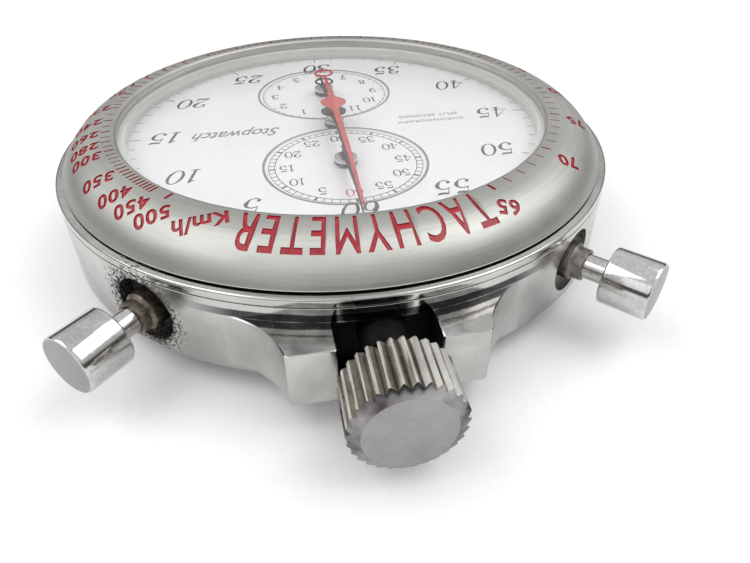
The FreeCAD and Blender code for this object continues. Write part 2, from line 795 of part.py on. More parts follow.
def barrel_pieces():
    x, y = BARREL
    level, height = s.barrel_level.value, s.barrel_height.value
    wall = s.barrel_wall.value
    radius = TEETH["barrel"] * s.train_module.value / 2
    drum_radius = radius - 0.5
    teeth = gear(TEETH["barrel"], s.train_module.value, 0.6, heading(BARREL, SECOND))
    teeth.translate(FreeCAD.Vector(0, 0, level + height - 0.6))
    drum = teeth.fuse(rod(drum_radius, level, level + height))
    hollow = rod(drum_radius - wall, level + wall, level + height - wall)
    drum = drum.cut(hollow).cut(rod(0.6 + slack, 0, 30))
    keep(solid(drum, x, y, 0), "mainspring_barrel")
    post = rod(1.3, level + wall + 0.05, level + height - wall - 0.05)
    post = post.fuse(rod(0.6, s.ratchet_level.value, plate_floor + 0.8))
    keep(solid(post, x, y, 0), "barrel_arbor")
    low, high = level + wall + 0.1, level + height - wall - 0.1
    inner, outer, strip, turns, steps = 1.5, drum_radius - wall - 0.15, 0.16, 9, 24
    pitch = (outer - inner - strip) / turns
    inside, outside = [], []
    for index in range(turns * steps + 1):
        angle = 2 * math.pi * index / steps
        reach = inner + pitch * index / steps
        inside.append(FreeCAD.Vector(reach * math.cos(angle), reach * math.sin(angle), low))
        reach += strip
        outside.append(FreeCAD.Vector(reach * math.cos(angle), reach * math.sin(angle), low))
    coil = Part.Face(Part.makePolygon(inside + outside[::-1] + inside[:1]))
    keep(solid(coil.extrude(FreeCAD.Vector(0, 0, high - low)), x, y, 0), "mainspring")
    start = mesh_start(TEETH["ratchet_wheel"], heading(CROWN_WHEEL, BARREL))
    ratchet = gear(TEETH["ratchet_wheel"], s.ratchet_module.value, 0.45, start, 0.6)
    keep(solid(ratchet, x, y, s.ratchet_level), "ratchet_wheel")


def winding_works():
    level = s.ratchet_level.value
    x, y = CROWN_WHEEL
    wheel = gear(TEETH["crown_wheel"], s.ratchet_module.value, 0.3, heading(CROWN_WHEEL, BARREL), 0.8)
    wheel = wheel.cut(Part.makeCylinder(1.4, 1, FreeCAD.Vector(0, 0, 0.2)))
    pitch = 2 * math.pi / TEETH["crown_face"]
    face_teeth = []
    for index in range(TEETH["crown_face"]):
        tooth = Part.makeBox(0.44, 0.26, 0.2, FreeCAD.Vector(PINION_REACH - 0.52, -0.13, 0.25))
        tooth.rotate(FreeCAD.Vector(), FreeCAD.Vector(0, 0, 1), math.degrees(index * pitch) + 90)
        face_teeth.append(tooth)
    keep(solid(wheel.fuse(face_teeth), x, y, level), "crown_wheel")
    reach = TEETH["winding_pinion"] * s.winding_module.value / 2
    leaf = gear_face(TEETH["winding_pinion"], s.winding_module.value, math.pi / 2 + math.pi / 12)
    pinion = leaf.extrude(FreeCAD.Vector(0, 0, 0.5))
    pinion = pinion.fuse(rod(reach * 0.7, 0.5, 1.6))
    pinion = pinion.cut(Part.makeBox(1, 1, 9, FreeCAD.Vector(-0.5, -0.5, -1)))
    item = solid(pinion)
    place(item, 0, y + PINION_REACH - 0.55, s.crown_axis_height, outward(0))
    keep(item, "winding_pinion")


def plates():
    radius, clear = s.movement_radius.value, slack
    plate = rod(radius, plate_floor, plate_floor + s.plate_thickness.value)
    wells = []
    for here in (SECOND, THIRD, FOURTH, ESCAPE, PALLET, BALANCE):
        well = rod(0.75, plate_floor - 1, plate_floor + 0.9)
        well.translate(FreeCAD.Vector(*here, 0))
        wells.append(well)
    for here, bore in ((CENTRE, 0.5 + clear), (MINUTE, 0.3 + clear), (HOUR, 0.3 + clear),
                       (BARREL, 0.6 + clear), (TRANSFER, s.pivot_radius.value + clear)):
        well = rod(bore, plate_floor - 1, plate_floor + 4)
        well.translate(FreeCAD.Vector(*here, 0))
        wells.append(well)
    keep(solid(plate.cut(wells)), "main_plate")


def pillar(here, radius=1.3):
    post = rod(radius, bridge_floor, plate_floor)
    post.translate(FreeCAD.Vector(*here, 0))
    return post


def slab(x0, y0, x1, y1, floor=None, top=None):
    low = bridge_floor if floor is None else floor
    high = bridge_top if top is None else top
    return Part.makeBox(x1 - x0, y1 - y0, high - low, FreeCAD.Vector(x0, y0, low))


def well_at(here, radius, low, high):
    hole = rod(radius, low, high)
    hole.translate(FreeCAD.Vector(*here, 0))
    return hole


BARREL_PILLARS = ((-19.6, 6.6), (-6.2, 21.4), (3.4, 7.4))
TRAIN_PILLARS = ((-20.2, -3.5), (-14.0, -14.2), (3.2, -4.2))
COCK_PILLAR = (12.6, -18.4)
PALLET_PILLARS = ((-6.4, -16.6), (-1.2, -10.4))


def bridges():
    disc = rod(s.movement_radius.value - 0.4, bridge_floor, bridge_top)
    low, high = bridge_floor - 1, bridge_top + 1
    cover = disc.common(slab(-25, 4.6, 5.2, 25))
    cover = cover.fuse([pillar(here) for here in BARREL_PILLARS])
    notch = Part.makeBox(5, 4.4, 3, FreeCAD.Vector(21.7, -2.2, low))
    notch.rotate(FreeCAD.Vector(), FreeCAD.Vector(0, 0, 1), 90 + s.pusher_angle.value)
    openings = [slab(-2.4, CROWN_WHEEL[1] + 2.2, 2.4, 25, low, 7), notch,
                well_at(BARREL, 0.6 + slack, low, high)]
    keep(solid(cover.cut(openings)), "barrel_bridge")
    cover = disc.common(slab(-25, -18, 5.2, 4.4))
    cover = cover.fuse([pillar(here) for here in TRAIN_PILLARS])
    openings = [well_at(BALANCE, s.balance_radius.value + 0.8, low, high),
                well_at(CENTRE, 0.5 + slack, low, high)]
    openings += [well_at(here, 0.75, low, high) for here in (SECOND, THIRD, FOURTH, ESCAPE)]
    keep(solid(cover.cut(openings)), "train_bridge")
    reach = math.dist(BALANCE, COCK_PILLAR)
    arm = Part.makeBox(reach, 3, bridge_top - bridge_floor, FreeCAD.Vector(0, -1.5, bridge_floor))
    arm.rotate(FreeCAD.Vector(), FreeCAD.Vector(0, 0, 1), math.degrees(heading(BALANCE, COCK_PILLAR)))
    arm.translate(FreeCAD.Vector(*BALANCE, 0))
    cock = arm.fuse([well_at(BALANCE, 2.0, bridge_floor, bridge_top), pillar(COCK_PILLAR, 2.2)])
    keep(solid(cock.cut(well_at(BALANCE, 0.75, low, high))), "balance_cock")
    start, end = PALLET_PILLARS
    level = s.balance_level.value + 0.85
    bar = Part.makeBox(math.dist(start, end), 1.4, 0.3, FreeCAD.Vector(0, -0.7, level))
    bar.rotate(FreeCAD.Vector(), FreeCAD.Vector(0, 0, 1), math.degrees(heading(start, end)))
    bar.translate(FreeCAD.Vector(*start, 0))
    posts = [well_at(here, 0.7, level, plate_floor) for here in PALLET_PILLARS]
    pivot_hole = well_at(PALLET, s.pivot_radius.value + slack, level - 1, level + 0.6)
    keep(solid(bar.fuse(posts).cut(pivot_hole)), "pallet_bridge")


def jewels():
    """Ruby bearings in the plate and the bridges, one ring for each pivot."""
    stones = []
    hole = s.pivot_radius.value + slack
    for here in (SECOND, THIRD, FOURTH, ESCAPE, PALLET, BALANCE):
        stones.append(well_at(here, 0.75, plate_floor, plate_floor + 0.9).cut(
            well_at(here, hole, 0, 30)))
    for here in (SECOND, THIRD, FOURTH, ESCAPE, BALANCE):
        stones.append(well_at(here, 0.75, bridge_floor, bridge_top).cut(
            well_at(here, hole, 0, 30)))
    keep(solid(Part.makeCompound(stones)), "jewels")


def bridge_screws():
    """Slotted screws, heads proud of the bridges on the back side."""
    screws = []
    for here in BARREL_PILLARS + TRAIN_PILLARS + (COCK_PILLAR,):
        head = well_at(here, 0.95, bridge_floor - 0.4, bridge_floor)
        slot = Part.makeBox(3, 0.22, 0.2, FreeCAD.Vector(-1.5, -0.11, bridge_floor - 0.41))
        slot.rotate(FreeCAD.Vector(), FreeCAD.Vector(0, 0, 1), 37 * len(screws))
        slot.translate(FreeCAD.Vector(*here, 0))
        screws.append(head.cut(slot))
    keep(solid(Part.makeCompound(screws)), "bridge_screws")


def escapement():
    """Escape wheel, pallet fork, balance and hairspring, the fork at its middle."""
    radius = s.escape_radius.value
    x, y = ESCAPE
    tooth_pitch = 2 * math.pi / 15
    corners = []
    for tooth in range(15):
        angle = (tooth + 0.5) * tooth_pitch + heading(ESCAPE, PALLET)
        for reach, share in ((radius * 0.8, -0.3), (radius, 0.0), (radius, 0.06),
                             (radius * 0.8, 0.12)):
            at = angle + share * tooth_pitch
            corners.append(FreeCAD.Vector(reach * math.cos(at), reach * math.sin(at), 0))
    wheel = Part.Face(Part.makePolygon(corners + corners[:1])).extrude(FreeCAD.Vector(0, 0, thin))
    leaf = gear_face(TEETH["escape_pinion"], s.fourth_module.value,
                     mesh_start(TEETH["escape_pinion"], heading(FOURTH, ESCAPE)))
    shape = arbor(wheel, high_level, leaf, low_level - 0.1, 0.6, bridge_top, plate_floor)
    keep(solid(shape, x, y, 0), "escape_wheel")

    toward = math.degrees(heading(PALLET, BALANCE))
    back = math.degrees(heading(PALLET, ESCAPE)) - toward
    lever = Part.makeBox(3.1, 0.36, thin, FreeCAD.Vector(0, -0.18, 0))
    horns = Part.makeBox(0.5, 0.9, thin, FreeCAD.Vector(3.0, -0.45, 0))
    arms = Part.makeBox(0.4, 4.0, thin, FreeCAD.Vector(-0.2, -2.0, 0))
    arms.rotate(FreeCAD.Vector(), FreeCAD.Vector(0, 0, 1), back)
    fork = lever.fuse([horns, arms, rod(0.55, 0, thin)])
    fork = fork.cut(Part.makeBox(0.5, 0.3, 1, FreeCAD.Vector(3.25, -0.15, -0.3)))
    fork.rotate(FreeCAD.Vector(), FreeCAD.Vector(0, 0, 1), toward)
    fork.translate(FreeCAD.Vector(0, 0, high_level))
    staff_foot = s.balance_level.value + 0.85
    fork = fork.fuse(rod(s.pivot_radius.value, staff_foot, plate_floor + 0.6))
    keep(solid(fork, PALLET[0], PALLET[1], 0), "pallet_fork")

    rim, level = s.balance_radius.value, s.balance_level.value
    hoop = rod(rim, level, level + 0.6).cut(rod(rim - 0.65, level - 1, level + 2))
    spoke = Part.makeBox(2 * rim - 0.6, 0.8, 0.3, FreeCAD.Vector(-rim + 0.3, -0.4, level + 0.1))
    hub = rod(0.8, level, level + 0.5)
    staff = rod(0.28, bridge_top + 0.15, plate_floor - 0.15)
    pivots = rod(s.pivot_radius.value, bridge_top - 0.5, plate_floor + 0.6)
    wheel = hoop.fuse([spoke, hub, staff, pivots, rod(0.55, high_level, high_level + 0.4)])
    keep(solid(wheel, BALANCE[0], BALANCE[1], 0), "balance_wheel")

    inner, turns, steps, strip = 0.62, 7, 24, 0.06
    pitch = 0.36
    inside, outside = [], []
    for index in range(turns * steps + 1):
        angle = 2 * math.pi * index / steps
        reach = inner + pitch * index / steps
        inside.append(FreeCAD.Vector(reach * math.cos(angle), reach * math.sin(angle), 0))
        reach += strip
        outside.append(FreeCAD.Vector(reach * math.cos(angle), reach * math.sin(angle), 0))
    coil = Part.Face(Part.makePolygon(inside + outside[::-1] + inside[:1]))
    coil = coil.extrude(FreeCAD.Vector(0, 0, 0.18))
    keep(solid(coil, BALANCE[0], BALANCE[1], bridge_top + 0.25), "hairspring")


def chronograph_works():
    """The sweep and split arbors, and the wheels that count minutes and hours."""
    level = s.sweep_wheel_level.value
    top = (dial_top + s.sweep_hand_lift + s.hand_thickness).value
    wheel = gear(TEETH["transfer_wheel"], 2 * s.sweep_wheel_radius.value / TEETH["transfer_wheel"],
                 0.3, 0, 0, 5)
    wheel.translate(FreeCAD.Vector(0, 0, level))
    leaf = gear_face(TEETH["sweep_pinion"], s.sweep_module.value, heading(CENTRE, TRANSFER))
    leaf = leaf.extrude(FreeCAD.Vector(0, 0, 0.3))
    leaf.translate(FreeCAD.Vector(0, 0, dial_works_level))
    sweep = wheel.fuse([rod(0.5, level - 0.2, top), leaf]).cut(rod(0.23 + slack, 0, 30))
    keep(solid(sweep), "chronograph_wheel")

    level = s.split_wheel_level.value
    top = (dial_top + s.split_hand_lift).value + 0.05
    wheel = gear(72, 2 * s.split_wheel_radius.value / 72, 0.35, 0, 0, 4)
    wheel.translate(FreeCAD.Vector(0, 0, level))
    split = wheel.fuse([rod(0.8, level, level + 0.8), rod(0.23, level, top)])
    keep(solid(split), "split_wheel")

    x, y = TRANSFER
    wheel = gear(TEETH["transfer_wheel"], s.sweep_module.value, 0.22,
                 mesh_start(TEETH["transfer_wheel"], heading(CENTRE, TRANSFER)), 0, 4)
    leaf = gear_face(TEETH["transfer_pinion"], s.minute_module.value, heading(TRANSFER, MINUTE))
    leaf = leaf.extrude(FreeCAD.Vector(0, 0, 0.28))
    leaf.translate(FreeCAD.Vector(0, 0, 0.22))
    pin = rod(s.pivot_radius.value, -1.2, 0.5)
    keep(solid(wheel.fuse([leaf, pin]), x, y, dial_works_level), "minute_transfer_wheel")

    hub_top = (s.counter_hand_lift + s.dial_thickness).value + 0.4
    for label, here, teeth in (("minute_counter_wheel", MINUTE, TEETH["minute_wheel"]),
                               ("hour_counter_wheel", HOUR, TEETH["minute_wheel"])):
        wheel = gear(teeth, s.minute_module.value, 0.2,
                     mesh_start(teeth, heading(TRANSFER, MINUTE)), 0, 4)
        wheel = wheel.fuse(rod(0.3, -1.8, hub_top))
        keep(solid(wheel, here[0], here[1], dial_works_level + 0.28), label)


COLUMN = (8.6, 9.4)
SPLIT_COLUMN = (-12.2, -1.6)
START_LEVER = (19.4, 8.4)
SPLIT_LEVER = (-20.6, 3.4)
HAMMER = (9.8, -6.6)
CLAMPS = ((-8.8, 3.4), (-8.8, -5.2))
works_level = 3.3


def column_wheel(here, label):
    """A ratchet with six upright columns, turned a step at each press."""
    shape = gear(12, 0.36, 0.4, 0.0)
    columns = []
    for index in range(6):
        angle = math.pi / 3 * index
        post = Part.makeBox(0.75, 0.7, 0.8, FreeCAD.Vector(0.75, -0.35, 0.4))
        post.rotate(FreeCAD.Vector(), FreeCAD.Vector(0, 0, 1), math.degrees(angle))
        columns.append(post)
    shape = shape.fuse(columns).cut(rod(0.45 + slack, -1, 3))
    keep(solid(shape, here[0], here[1], works_level - 0.2), label)


def shouldered_screws():
    """Pivot screws of the levers and column wheels: on a bridge, or on a post of the plate."""
    screws = []
    posts = [(here, plate_floor) for here in (COLUMN, START_LEVER, HAMMER)]
    posts += [(here, bridge_floor) for here in (SPLIT_COLUMN, SPLIT_LEVER, *CLAMPS)]
    for here, top in posts:
        screw = well_at(here, 0.45, works_level - 0.45, top)
        head = well_at(here, 0.85, works_level - 0.8, works_level - 0.45)
        screws.append(screw.fuse(head))
    keep(solid(Part.makeCompound(screws)), "lever_screws")


def lever(pivot, points, label, level, thickness=0.45, width=1.1, tab_angle=None):
    """A flat steel lever along a line of points, its tab upright before a pusher."""
    bars = []
    for start, end in zip(points, points[1:]):
        bar = Part.makeBox(math.dist(start, end), width, thickness,
                           FreeCAD.Vector(0, -width / 2, 0))
        bar.rotate(FreeCAD.Vector(), FreeCAD.Vector(0, 0, 1), math.degrees(heading(start, end)))
        bar.translate(FreeCAD.Vector(*start, level))
        bars.append(bar)
    for here in points[1:]:
        bars.append(well_at(here, width / 2, level, level + thickness))
    boss = well_at(pivot, 1.2, level, level + thickness)
    shape = boss.fuse(bars)
    if tab_angle is not None:
        tab = Part.makeBox(0.8, 1.2, 6.4 - level, FreeCAD.Vector(23.9, -0.6, level))
        tab.rotate(FreeCAD.Vector(), FreeCAD.Vector(0, 0, 1), 90 - tab_angle)
        shape = shape.fuse(tab)
    return keep(solid(shape.cut(well_at(pivot, 0.45 + slack, 0, 30))), label)


def case_screws():
    """Three dog screws whose heads lap over the movement ring."""
    screws = []
    for degrees in (20, 150, 270):
        here = polar(CENTRE, s.movement_radius.value - 1.3, degrees)
        head = well_at(here, 1.1, plate_floor - 0.5, plate_floor)
        slot = Part.makeBox(3, 0.25, 0.25, FreeCAD.Vector(-1.5, -0.12, plate_floor - 0.51))
        slot.translate(FreeCAD.Vector(*here, 0))
        screws.append(head.cut(slot))
    keep(solid(Part.makeCompound(screws)), "plate_screws")


def click_work():
    """The click that holds the ratchet wheel, just clear of its teeth, and its spring."""
    radius = TEETH["ratchet_wheel"] * s.ratchet_module.value / 2
    pivot = polar(BARREL, radius + 2.2, 215)
    tip = polar(BARREL, radius + 0.45, 200)
    level = s.ratchet_level.value
    pawl = Part.makePolygon([FreeCAD.Vector(*p, level) for p in (
        tip, polar(pivot, 0.8, heading_degrees(pivot, tip) - 90),
        polar(pivot, 0.8, heading_degrees(pivot, tip) + 90), tip)])
    pawl = Part.Face(pawl).extrude(FreeCAD.Vector(0, 0, 0.4))
    pawl = pawl.fuse(well_at(pivot, 0.9, level, level + 0.4))
    keep(solid(pawl.cut(well_at(pivot, 0.3 + slack, 0, 30))), "click")
    pin = well_at(pivot, 0.3, level - 0.05, bridge_floor)
    keep(solid(pin.fuse(well_at(pivot, 0.55, level - 0.3, level - 0.05))), "click_screw")


def heading_degrees(start, end):
    return math.degrees(heading(start, end))


case_middle()
case_back()
bezel()
crystal()
flange_ring()
movement_ring()
dial()
counter_hand(s.minute_dial_distance, 6.9, "minute_counter_hand")
counter_hand(-s.hour_dial_distance, 5.6, "hour_counter_hand")
sweep_hand()
split_hand()
crown()
winding_stem()
stem_collar()
crown_tube()
pusher(s.pusher_angle.value, "start_pusher")
pusher(-s.pusher_angle.value, "split_pusher")
pusher_tube(s.pusher_angle.value, "start_pusher_tube")
pusher_tube(-s.pusher_angle.value, "split_pusher_tube")
plates()
bridges()
jewels()
bridge_screws()
case_screws()
barrel_pieces()
winding_works()
click_work()
train_wheel("second_wheel", SECOND, "second_wheel", s.second_module, low_level,
            "second_pinion", s.train_module, 8.2, 0.75, BARREL, THIRD)
train_wheel("third_wheel", THIRD, "third_wheel", s.third_module, high_level,
            "third_pinion", s.second_module, low_level - 0.1, 0.6, SECOND, FOURTH)
train_wheel("fourth_wheel", FOURTH, "fourth_wheel", s.fourth_module, low_level,
            "fourth_pinion", s.third_module, high_level - 0.1, 0.6, THIRD, ESCAPE, 4)
escapement()
chronograph_works()
column_wheel(COLUMN, "column_wheel")
column_wheel(SPLIT_COLUMN, "split_column_wheel")
shouldered_screws()
for here, wheel_side, angle, label in (
        (START_LEVER, polar(COLUMN, 3.2, 0), s.pusher_angle.value, "start_lever"),
        (SPLIT_LEVER, polar(SPLIT_COLUMN, 3.2, 150), -s.pusher_angle.value, "split_lever")):
    finger = polar(CENTRE, 24.3, 90 - angle)
    lever(here, (finger, here, wheel_side), label, works_level, tab_angle=angle)
lever(HAMMER, (HAMMER, (6.2, 1.4), (2.6, 6.2)), "reset_hammer", works_level + 0.75, 0.4)
for here, degrees, label in ((CLAMPS[0], 140, "split_clamp_upper"), (CLAMPS[1], 220, "split_clamp_lower")):
    tip = polar(CENTRE, s.split_wheel_radius.value + 0.6, degrees)
    lever(here, (here, tip), label, s.split_wheel_level.value, 0.35, 0.8)

document.recompute()
for item in document.Objects:
    assert not {"Invalid", "Error"} & set(item.State), f"{item.Label}: {item.State}"
os.makedirs("parts", exist_ok=True)
for item in nodes:
    assert not item.Shape.isNull() and item.Shape.isValid(), f"{item.Label} is not a valid shape"
    item.Shape.exportStep(f"parts/{item.Label}.step")
print(len(nodes), "nodes written")
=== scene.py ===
import math

import bpy
import numpy as np
from mathutils import Matrix, Vector, geometry


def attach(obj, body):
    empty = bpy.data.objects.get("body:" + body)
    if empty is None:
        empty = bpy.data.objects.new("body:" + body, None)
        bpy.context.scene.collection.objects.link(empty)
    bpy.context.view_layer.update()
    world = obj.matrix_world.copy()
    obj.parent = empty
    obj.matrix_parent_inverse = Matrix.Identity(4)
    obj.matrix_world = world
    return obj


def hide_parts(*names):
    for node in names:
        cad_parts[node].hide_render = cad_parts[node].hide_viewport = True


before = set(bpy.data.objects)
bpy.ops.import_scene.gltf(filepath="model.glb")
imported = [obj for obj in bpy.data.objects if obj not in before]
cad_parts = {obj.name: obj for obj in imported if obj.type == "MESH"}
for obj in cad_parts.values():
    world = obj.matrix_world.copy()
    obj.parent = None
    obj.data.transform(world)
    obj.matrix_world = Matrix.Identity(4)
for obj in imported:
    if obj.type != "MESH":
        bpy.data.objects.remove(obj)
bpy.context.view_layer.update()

# A split-seconds stopwatch on its back: +Z leaves the dial, +Y points at the crown, +X at 3 o'clock.
# Shapes are written in millimetres and become metres in the mesh.
MM = 0.001


# ------------------------------------------------------------------ materials
class Nodes:
    """A material's node tree with short calls to add and join nodes."""

    def __init__(self, name):
        self.material = bpy.data.materials.new(name)
        self.material.use_nodes = True
        self.tree = self.material.node_tree
        self.tree.nodes.clear()
        self.out = self.tree.nodes.new("ShaderNodeOutputMaterial")

    def add(self, kind, **settings):
        node = self.tree.nodes.new("ShaderNode" + kind)
        for key, value in settings.items():
            if hasattr(node, key):
                setattr(node, key, value)
            else:
                self.put(value, node.inputs[key.replace("_", " ")])
        return node

    def join(self, source, target):
        self.tree.links.new(source, target)

    def put(self, item, socket):
        """Fills a socket with a number, a colour or another node's output."""
        if isinstance(item, tuple):
            socket.default_value = (*item, 1)
        elif isinstance(item, (int, float)):
            socket.default_value = item
        else:
            self.join(item, socket)

    def math(self, operation, *items):
        node = self.add("Math", operation=operation)
        for item, socket in zip(items, node.inputs):
            self.put(item, socket)
        return node.outputs[0]

    def blend(self, first, share, second, other_share):
        """Two values added, each with its own weight."""
        return self.math("ADD", self.math("MULTIPLY", first, share),
                         self.math("MULTIPLY", second, other_share))

    def place(self):
        """The point on the object at rest, in millimetres."""
        source = self.add("TexCoord")
        scale = self.add("VectorMath", operation="SCALE")
        scale.inputs["Scale"].default_value = 1 / MM
        self.join(source.outputs["Object"], scale.inputs[0])
        return scale.outputs[0]

    def stretched(self, point, factors):
        node = self.add("VectorMath", operation="MULTIPLY")
        node.inputs[1].default_value = factors
        self.join(point, node.inputs[0])
        return node.outputs[0]

    def noise(self, point, scale, detail=3.0, roughness=0.55):
        node = self.add("TexNoise", Scale=scale, Detail=detail, Roughness=roughness)
        self.join(point, node.inputs["Vector"])
        return node.outputs["Fac"]

    def span(self, value, low, high, to_low=0.0, to_high=1.0):
        """A value's stretch from low to high mapped to another stretch and held at its ends."""
        node = self.add("MapRange", From_Min=low, From_Max=high, To_Min=to_low, To_Max=to_high)
        self.join(value, node.inputs["Value"])
        return node.outputs["Result"]

    def ramp(self, value, *stops):
        """A colour ramp of (position, (r, g, b)) stops."""
        node = self.add("ValToRGB")
        stairs = node.color_ramp.elements
        while len(stairs) < len(stops):
            stairs.new(0.5)
        for element, (position, colour) in zip(stairs, stops):
            element.position = position
            element.color = (*colour, 1)
        self.join(value, node.inputs["Fac"])
        return node.outputs["Color"]

    def mix(self, share, first, second):
        node = self.add("Mix", data_type="RGBA")
        slots = [socket for socket in node.inputs if socket.enabled]
        for socket, item in zip(slots, (share, first, second)):
            self.put(item, socket)
        return next(output for output in node.outputs if output.enabled)

    def bump(self, height, distance, strength=1.0):
        node = self.add("Bump", Strength=strength, Distance=distance)
        self.join(height, node.inputs["Height"])
        return node.outputs["Normal"]

    def shader(self, colour, roughness, normal=None, **settings):
        node = self.add("BsdfPrincipled")
        settings.update(Base_Color=colour, Roughness=roughness)
        if normal is not None:
            settings["Normal"] = normal
        for key, item in settings.items():
            self.put(item, node.inputs[key.replace("_", " ")])
        self.join(node.outputs[0], self.out.inputs["Surface"])
        return self.material


def polar_point(n, point, radial, around, height):
    """Noise space that follows circles about Z: radius, angle and height, each with its own scale."""
    parts = n.add("SeparateXYZ")
    n.join(point, parts.inputs[0])
    x, y, z = parts.outputs
    flat = n.math("SQRT", n.math("ADD", n.math("MULTIPLY", x, x), n.math("MULTIPLY", y, y)))
    length = n.math("MAXIMUM", flat, 0.01)
    joined = n.add("CombineXYZ")
    n.join(n.math("MULTIPLY", n.math("DIVIDE", x, length), around), joined.inputs["X"])
    n.join(n.math("MULTIPLY", n.math("DIVIDE", y, length), around), joined.inputs["Y"])
    n.join(n.blend(flat, radial, z, height), joined.inputs["Z"])
    return joined.outputs[0]


def turned_steel(name, base, dark, rough, spread):
    """Steel brushed in circles about Z, with streaks, wipe marks and scattered pits."""
    lines, groove = 9.0, 0.015
    n = Nodes(name)
    point = n.place()
    circles = polar_point(n, point, lines, 1.6, lines)
    fine = polar_point(n, point, lines * 3.1, 5.0, lines * 3.1)
    streak = n.noise(circles, 1.0, 4.0, 0.65)
    hair = n.noise(fine, 1.0, 2.0, 0.7)
    cloud = n.noise(point, 0.16, 3.0)
    colour = n.ramp(n.blend(streak, 0.6, cloud, 0.4), (0.3, dark), (0.7, base))
    wear = n.span(n.blend(hair, 0.6, cloud, 0.4), 0.3, 0.7, rough - spread, rough + spread)
    pits = n.span(n.noise(point, 2.6, 2.0, 0.4), 0.74, 0.8)
    height = n.math("SUBTRACT", n.math("ADD", streak, n.math("MULTIPLY", hair, 0.7)),
                    n.math("MULTIPLY", pits, 2.0))
    tangent = n.add("Tangent", direction_type="RADIAL", axis="Z")
    return n.shader(colour, wear, n.bump(height, groove * MM, 0.5), Metallic=1.0, Anisotropic=0.5,
                    Tangent=tangent.outputs[0])


def plain_metal(name, base, dark, rough, spread, grain=3.0, stretch=(1, 1, 1), depth=0.004):
    """Metal with a fine directional grain, cloudy roughness and sparse scratches."""
    n = Nodes(name)
    point = n.place()
    fine = n.noise(n.stretched(point, stretch), grain, 4.0, 0.6)
    cloud = n.noise(point, 0.35, 3.0)
    colour = n.ramp(n.blend(fine, 0.45, cloud, 0.55), (0.32, dark), (0.66, base))
    wear = n.span(n.blend(fine, 0.5, cloud, 0.5), 0.3, 0.7, max(rough - spread, 0.02), rough + spread)
    slant = n.stretched(point, (0.5, 3.0, 1.4))
    scratches = n.span(n.noise(slant, 1.7, 5.0, 0.75), 0.64, 0.7)
    height = n.math("SUBTRACT", fine, n.math("MULTIPLY", scratches, 0.5))
    return n.shader(colour, wear, n.bump(height, depth * MM, 0.6), Metallic=1.0)


def case_metal():
    """Worn steel: polished rim, satin flank, black corrosion round the start pusher."""
    corroded_spot = (20.2, 22.4, 6.4)
    n = Nodes("case_metal")
    point = n.place()
    cloud = n.noise(point, 0.3, 3.0)
    fine = n.noise(n.stretched(point, (1.2, 1.2, 5.0)), 3.0, 5.0, 0.7)
    colour = n.ramp(n.blend(cloud, 0.6, fine, 0.4),
                    (0.3, (0.4, 0.39, 0.38)), (0.65, (0.6, 0.59, 0.57)))
    parts = n.add("SeparateXYZ")
    n.join(point, parts.inputs[0])
    _, y, z = parts.outputs

    spot = n.add("VectorMath", operation="DISTANCE")
    spot.inputs[1].default_value = corroded_spot
    n.join(point, spot.inputs[0])
    distance = spot.outputs["Value"]
    reach = n.span(distance, 2.6, 8.2, 1.0, 0.0)
    speckle = n.noise(point, 3.6, 4.0, 0.7)
    rust = n.span(n.blend(speckle, 0.72, reach, 0.42), 0.65, 0.71)
    rust = n.math("MULTIPLY", rust, n.span(reach, 0.02, 0.2))
    deep = n.span(distance, 2.4, 3.4, 1.0, 0.0)
    rust = n.math("MAXIMUM", rust, n.math("MULTIPLY", deep, n.span(speckle, 0.35, 0.5)))
    pits = n.span(n.noise(point, 1.9, 3.0, 0.5), 0.735, 0.77)
    marks = n.math("MAXIMUM", rust, n.math("MULTIPLY", pits, 0.8))
    colour = n.mix(marks, colour, (0.035, 0.03, 0.026))

    # painted reflection: a dark mottled stripe over the guards on the crown side, standing for the dark
    # band the flank reflects
    stripe = n.math("ADD", z, n.math("MULTIPLY", cloud, 0.25))
    reflection_band = n.math("MULTIPLY", n.span(stripe, 8.95, 9.05), n.span(stripe, 9.85, 9.75))
    reflection_band = n.math("MULTIPLY", reflection_band, n.span(y, 26.0, 28.5))
    reflection_band = n.math("MULTIPLY", reflection_band, n.span(fine, 0.2, 0.5, 0.75, 1.0))
    colour = n.mix(reflection_band, colour, (0.05, 0.05, 0.055))

    # the rim and the guards' tops are polished, the rest is satin
    satin = n.span(n.blend(cloud, 0.5, fine, 0.5), 0.3, 0.7, 0.17, 0.3)
    bright = n.span(fine, 0.3, 0.7, 0.06, 0.14)
    front = n.math("MULTIPLY", n.span(y, 27.0, 29.0), n.span(z, 8.2, 8.7))
    gloss = n.math("MAXIMUM", n.span(z, 10.2, 10.5), front)
    wear = n.add("Mix", data_type="FLOAT")
    n.join(gloss, wear.inputs["Factor"])
    n.join(satin, wear.inputs["A"])
    n.join(bright, wear.inputs["B"])
    rough = n.math("MAXIMUM", wear.outputs["Result"], n.math("MULTIPLY", marks, 0.75))
    metal = n.math("SUBTRACT", 1.0, n.math("MULTIPLY", marks, 0.6))
    height = n.math("SUBTRACT", n.math("MULTIPLY", fine, 0.5), n.math("MULTIPLY", marks, 1.5))
    return n.shader(colour, rough, n.bump(height, 0.012 * MM, 0.7), Metallic=metal)


def paint(name, base, dark, rough, spread, scale=1.5, depth=0.004, **settings):
    """Lacquer, enamel or ink: cloudy colour and a faint uneven skin."""
    n = Nodes(name)
    point = n.place()
    cloud = n.noise(point, scale, 4.0, 0.6)
    skin = n.noise(point, scale * 6, 3.0)
    colour = n.ramp(cloud, (0.3, dark), (0.7, base))
    wear = n.span(skin, 0.3, 0.7, rough - spread, rough + spread)
    return n.shader(colour, wear, n.bump(skin, depth * MM, 0.5), **settings)


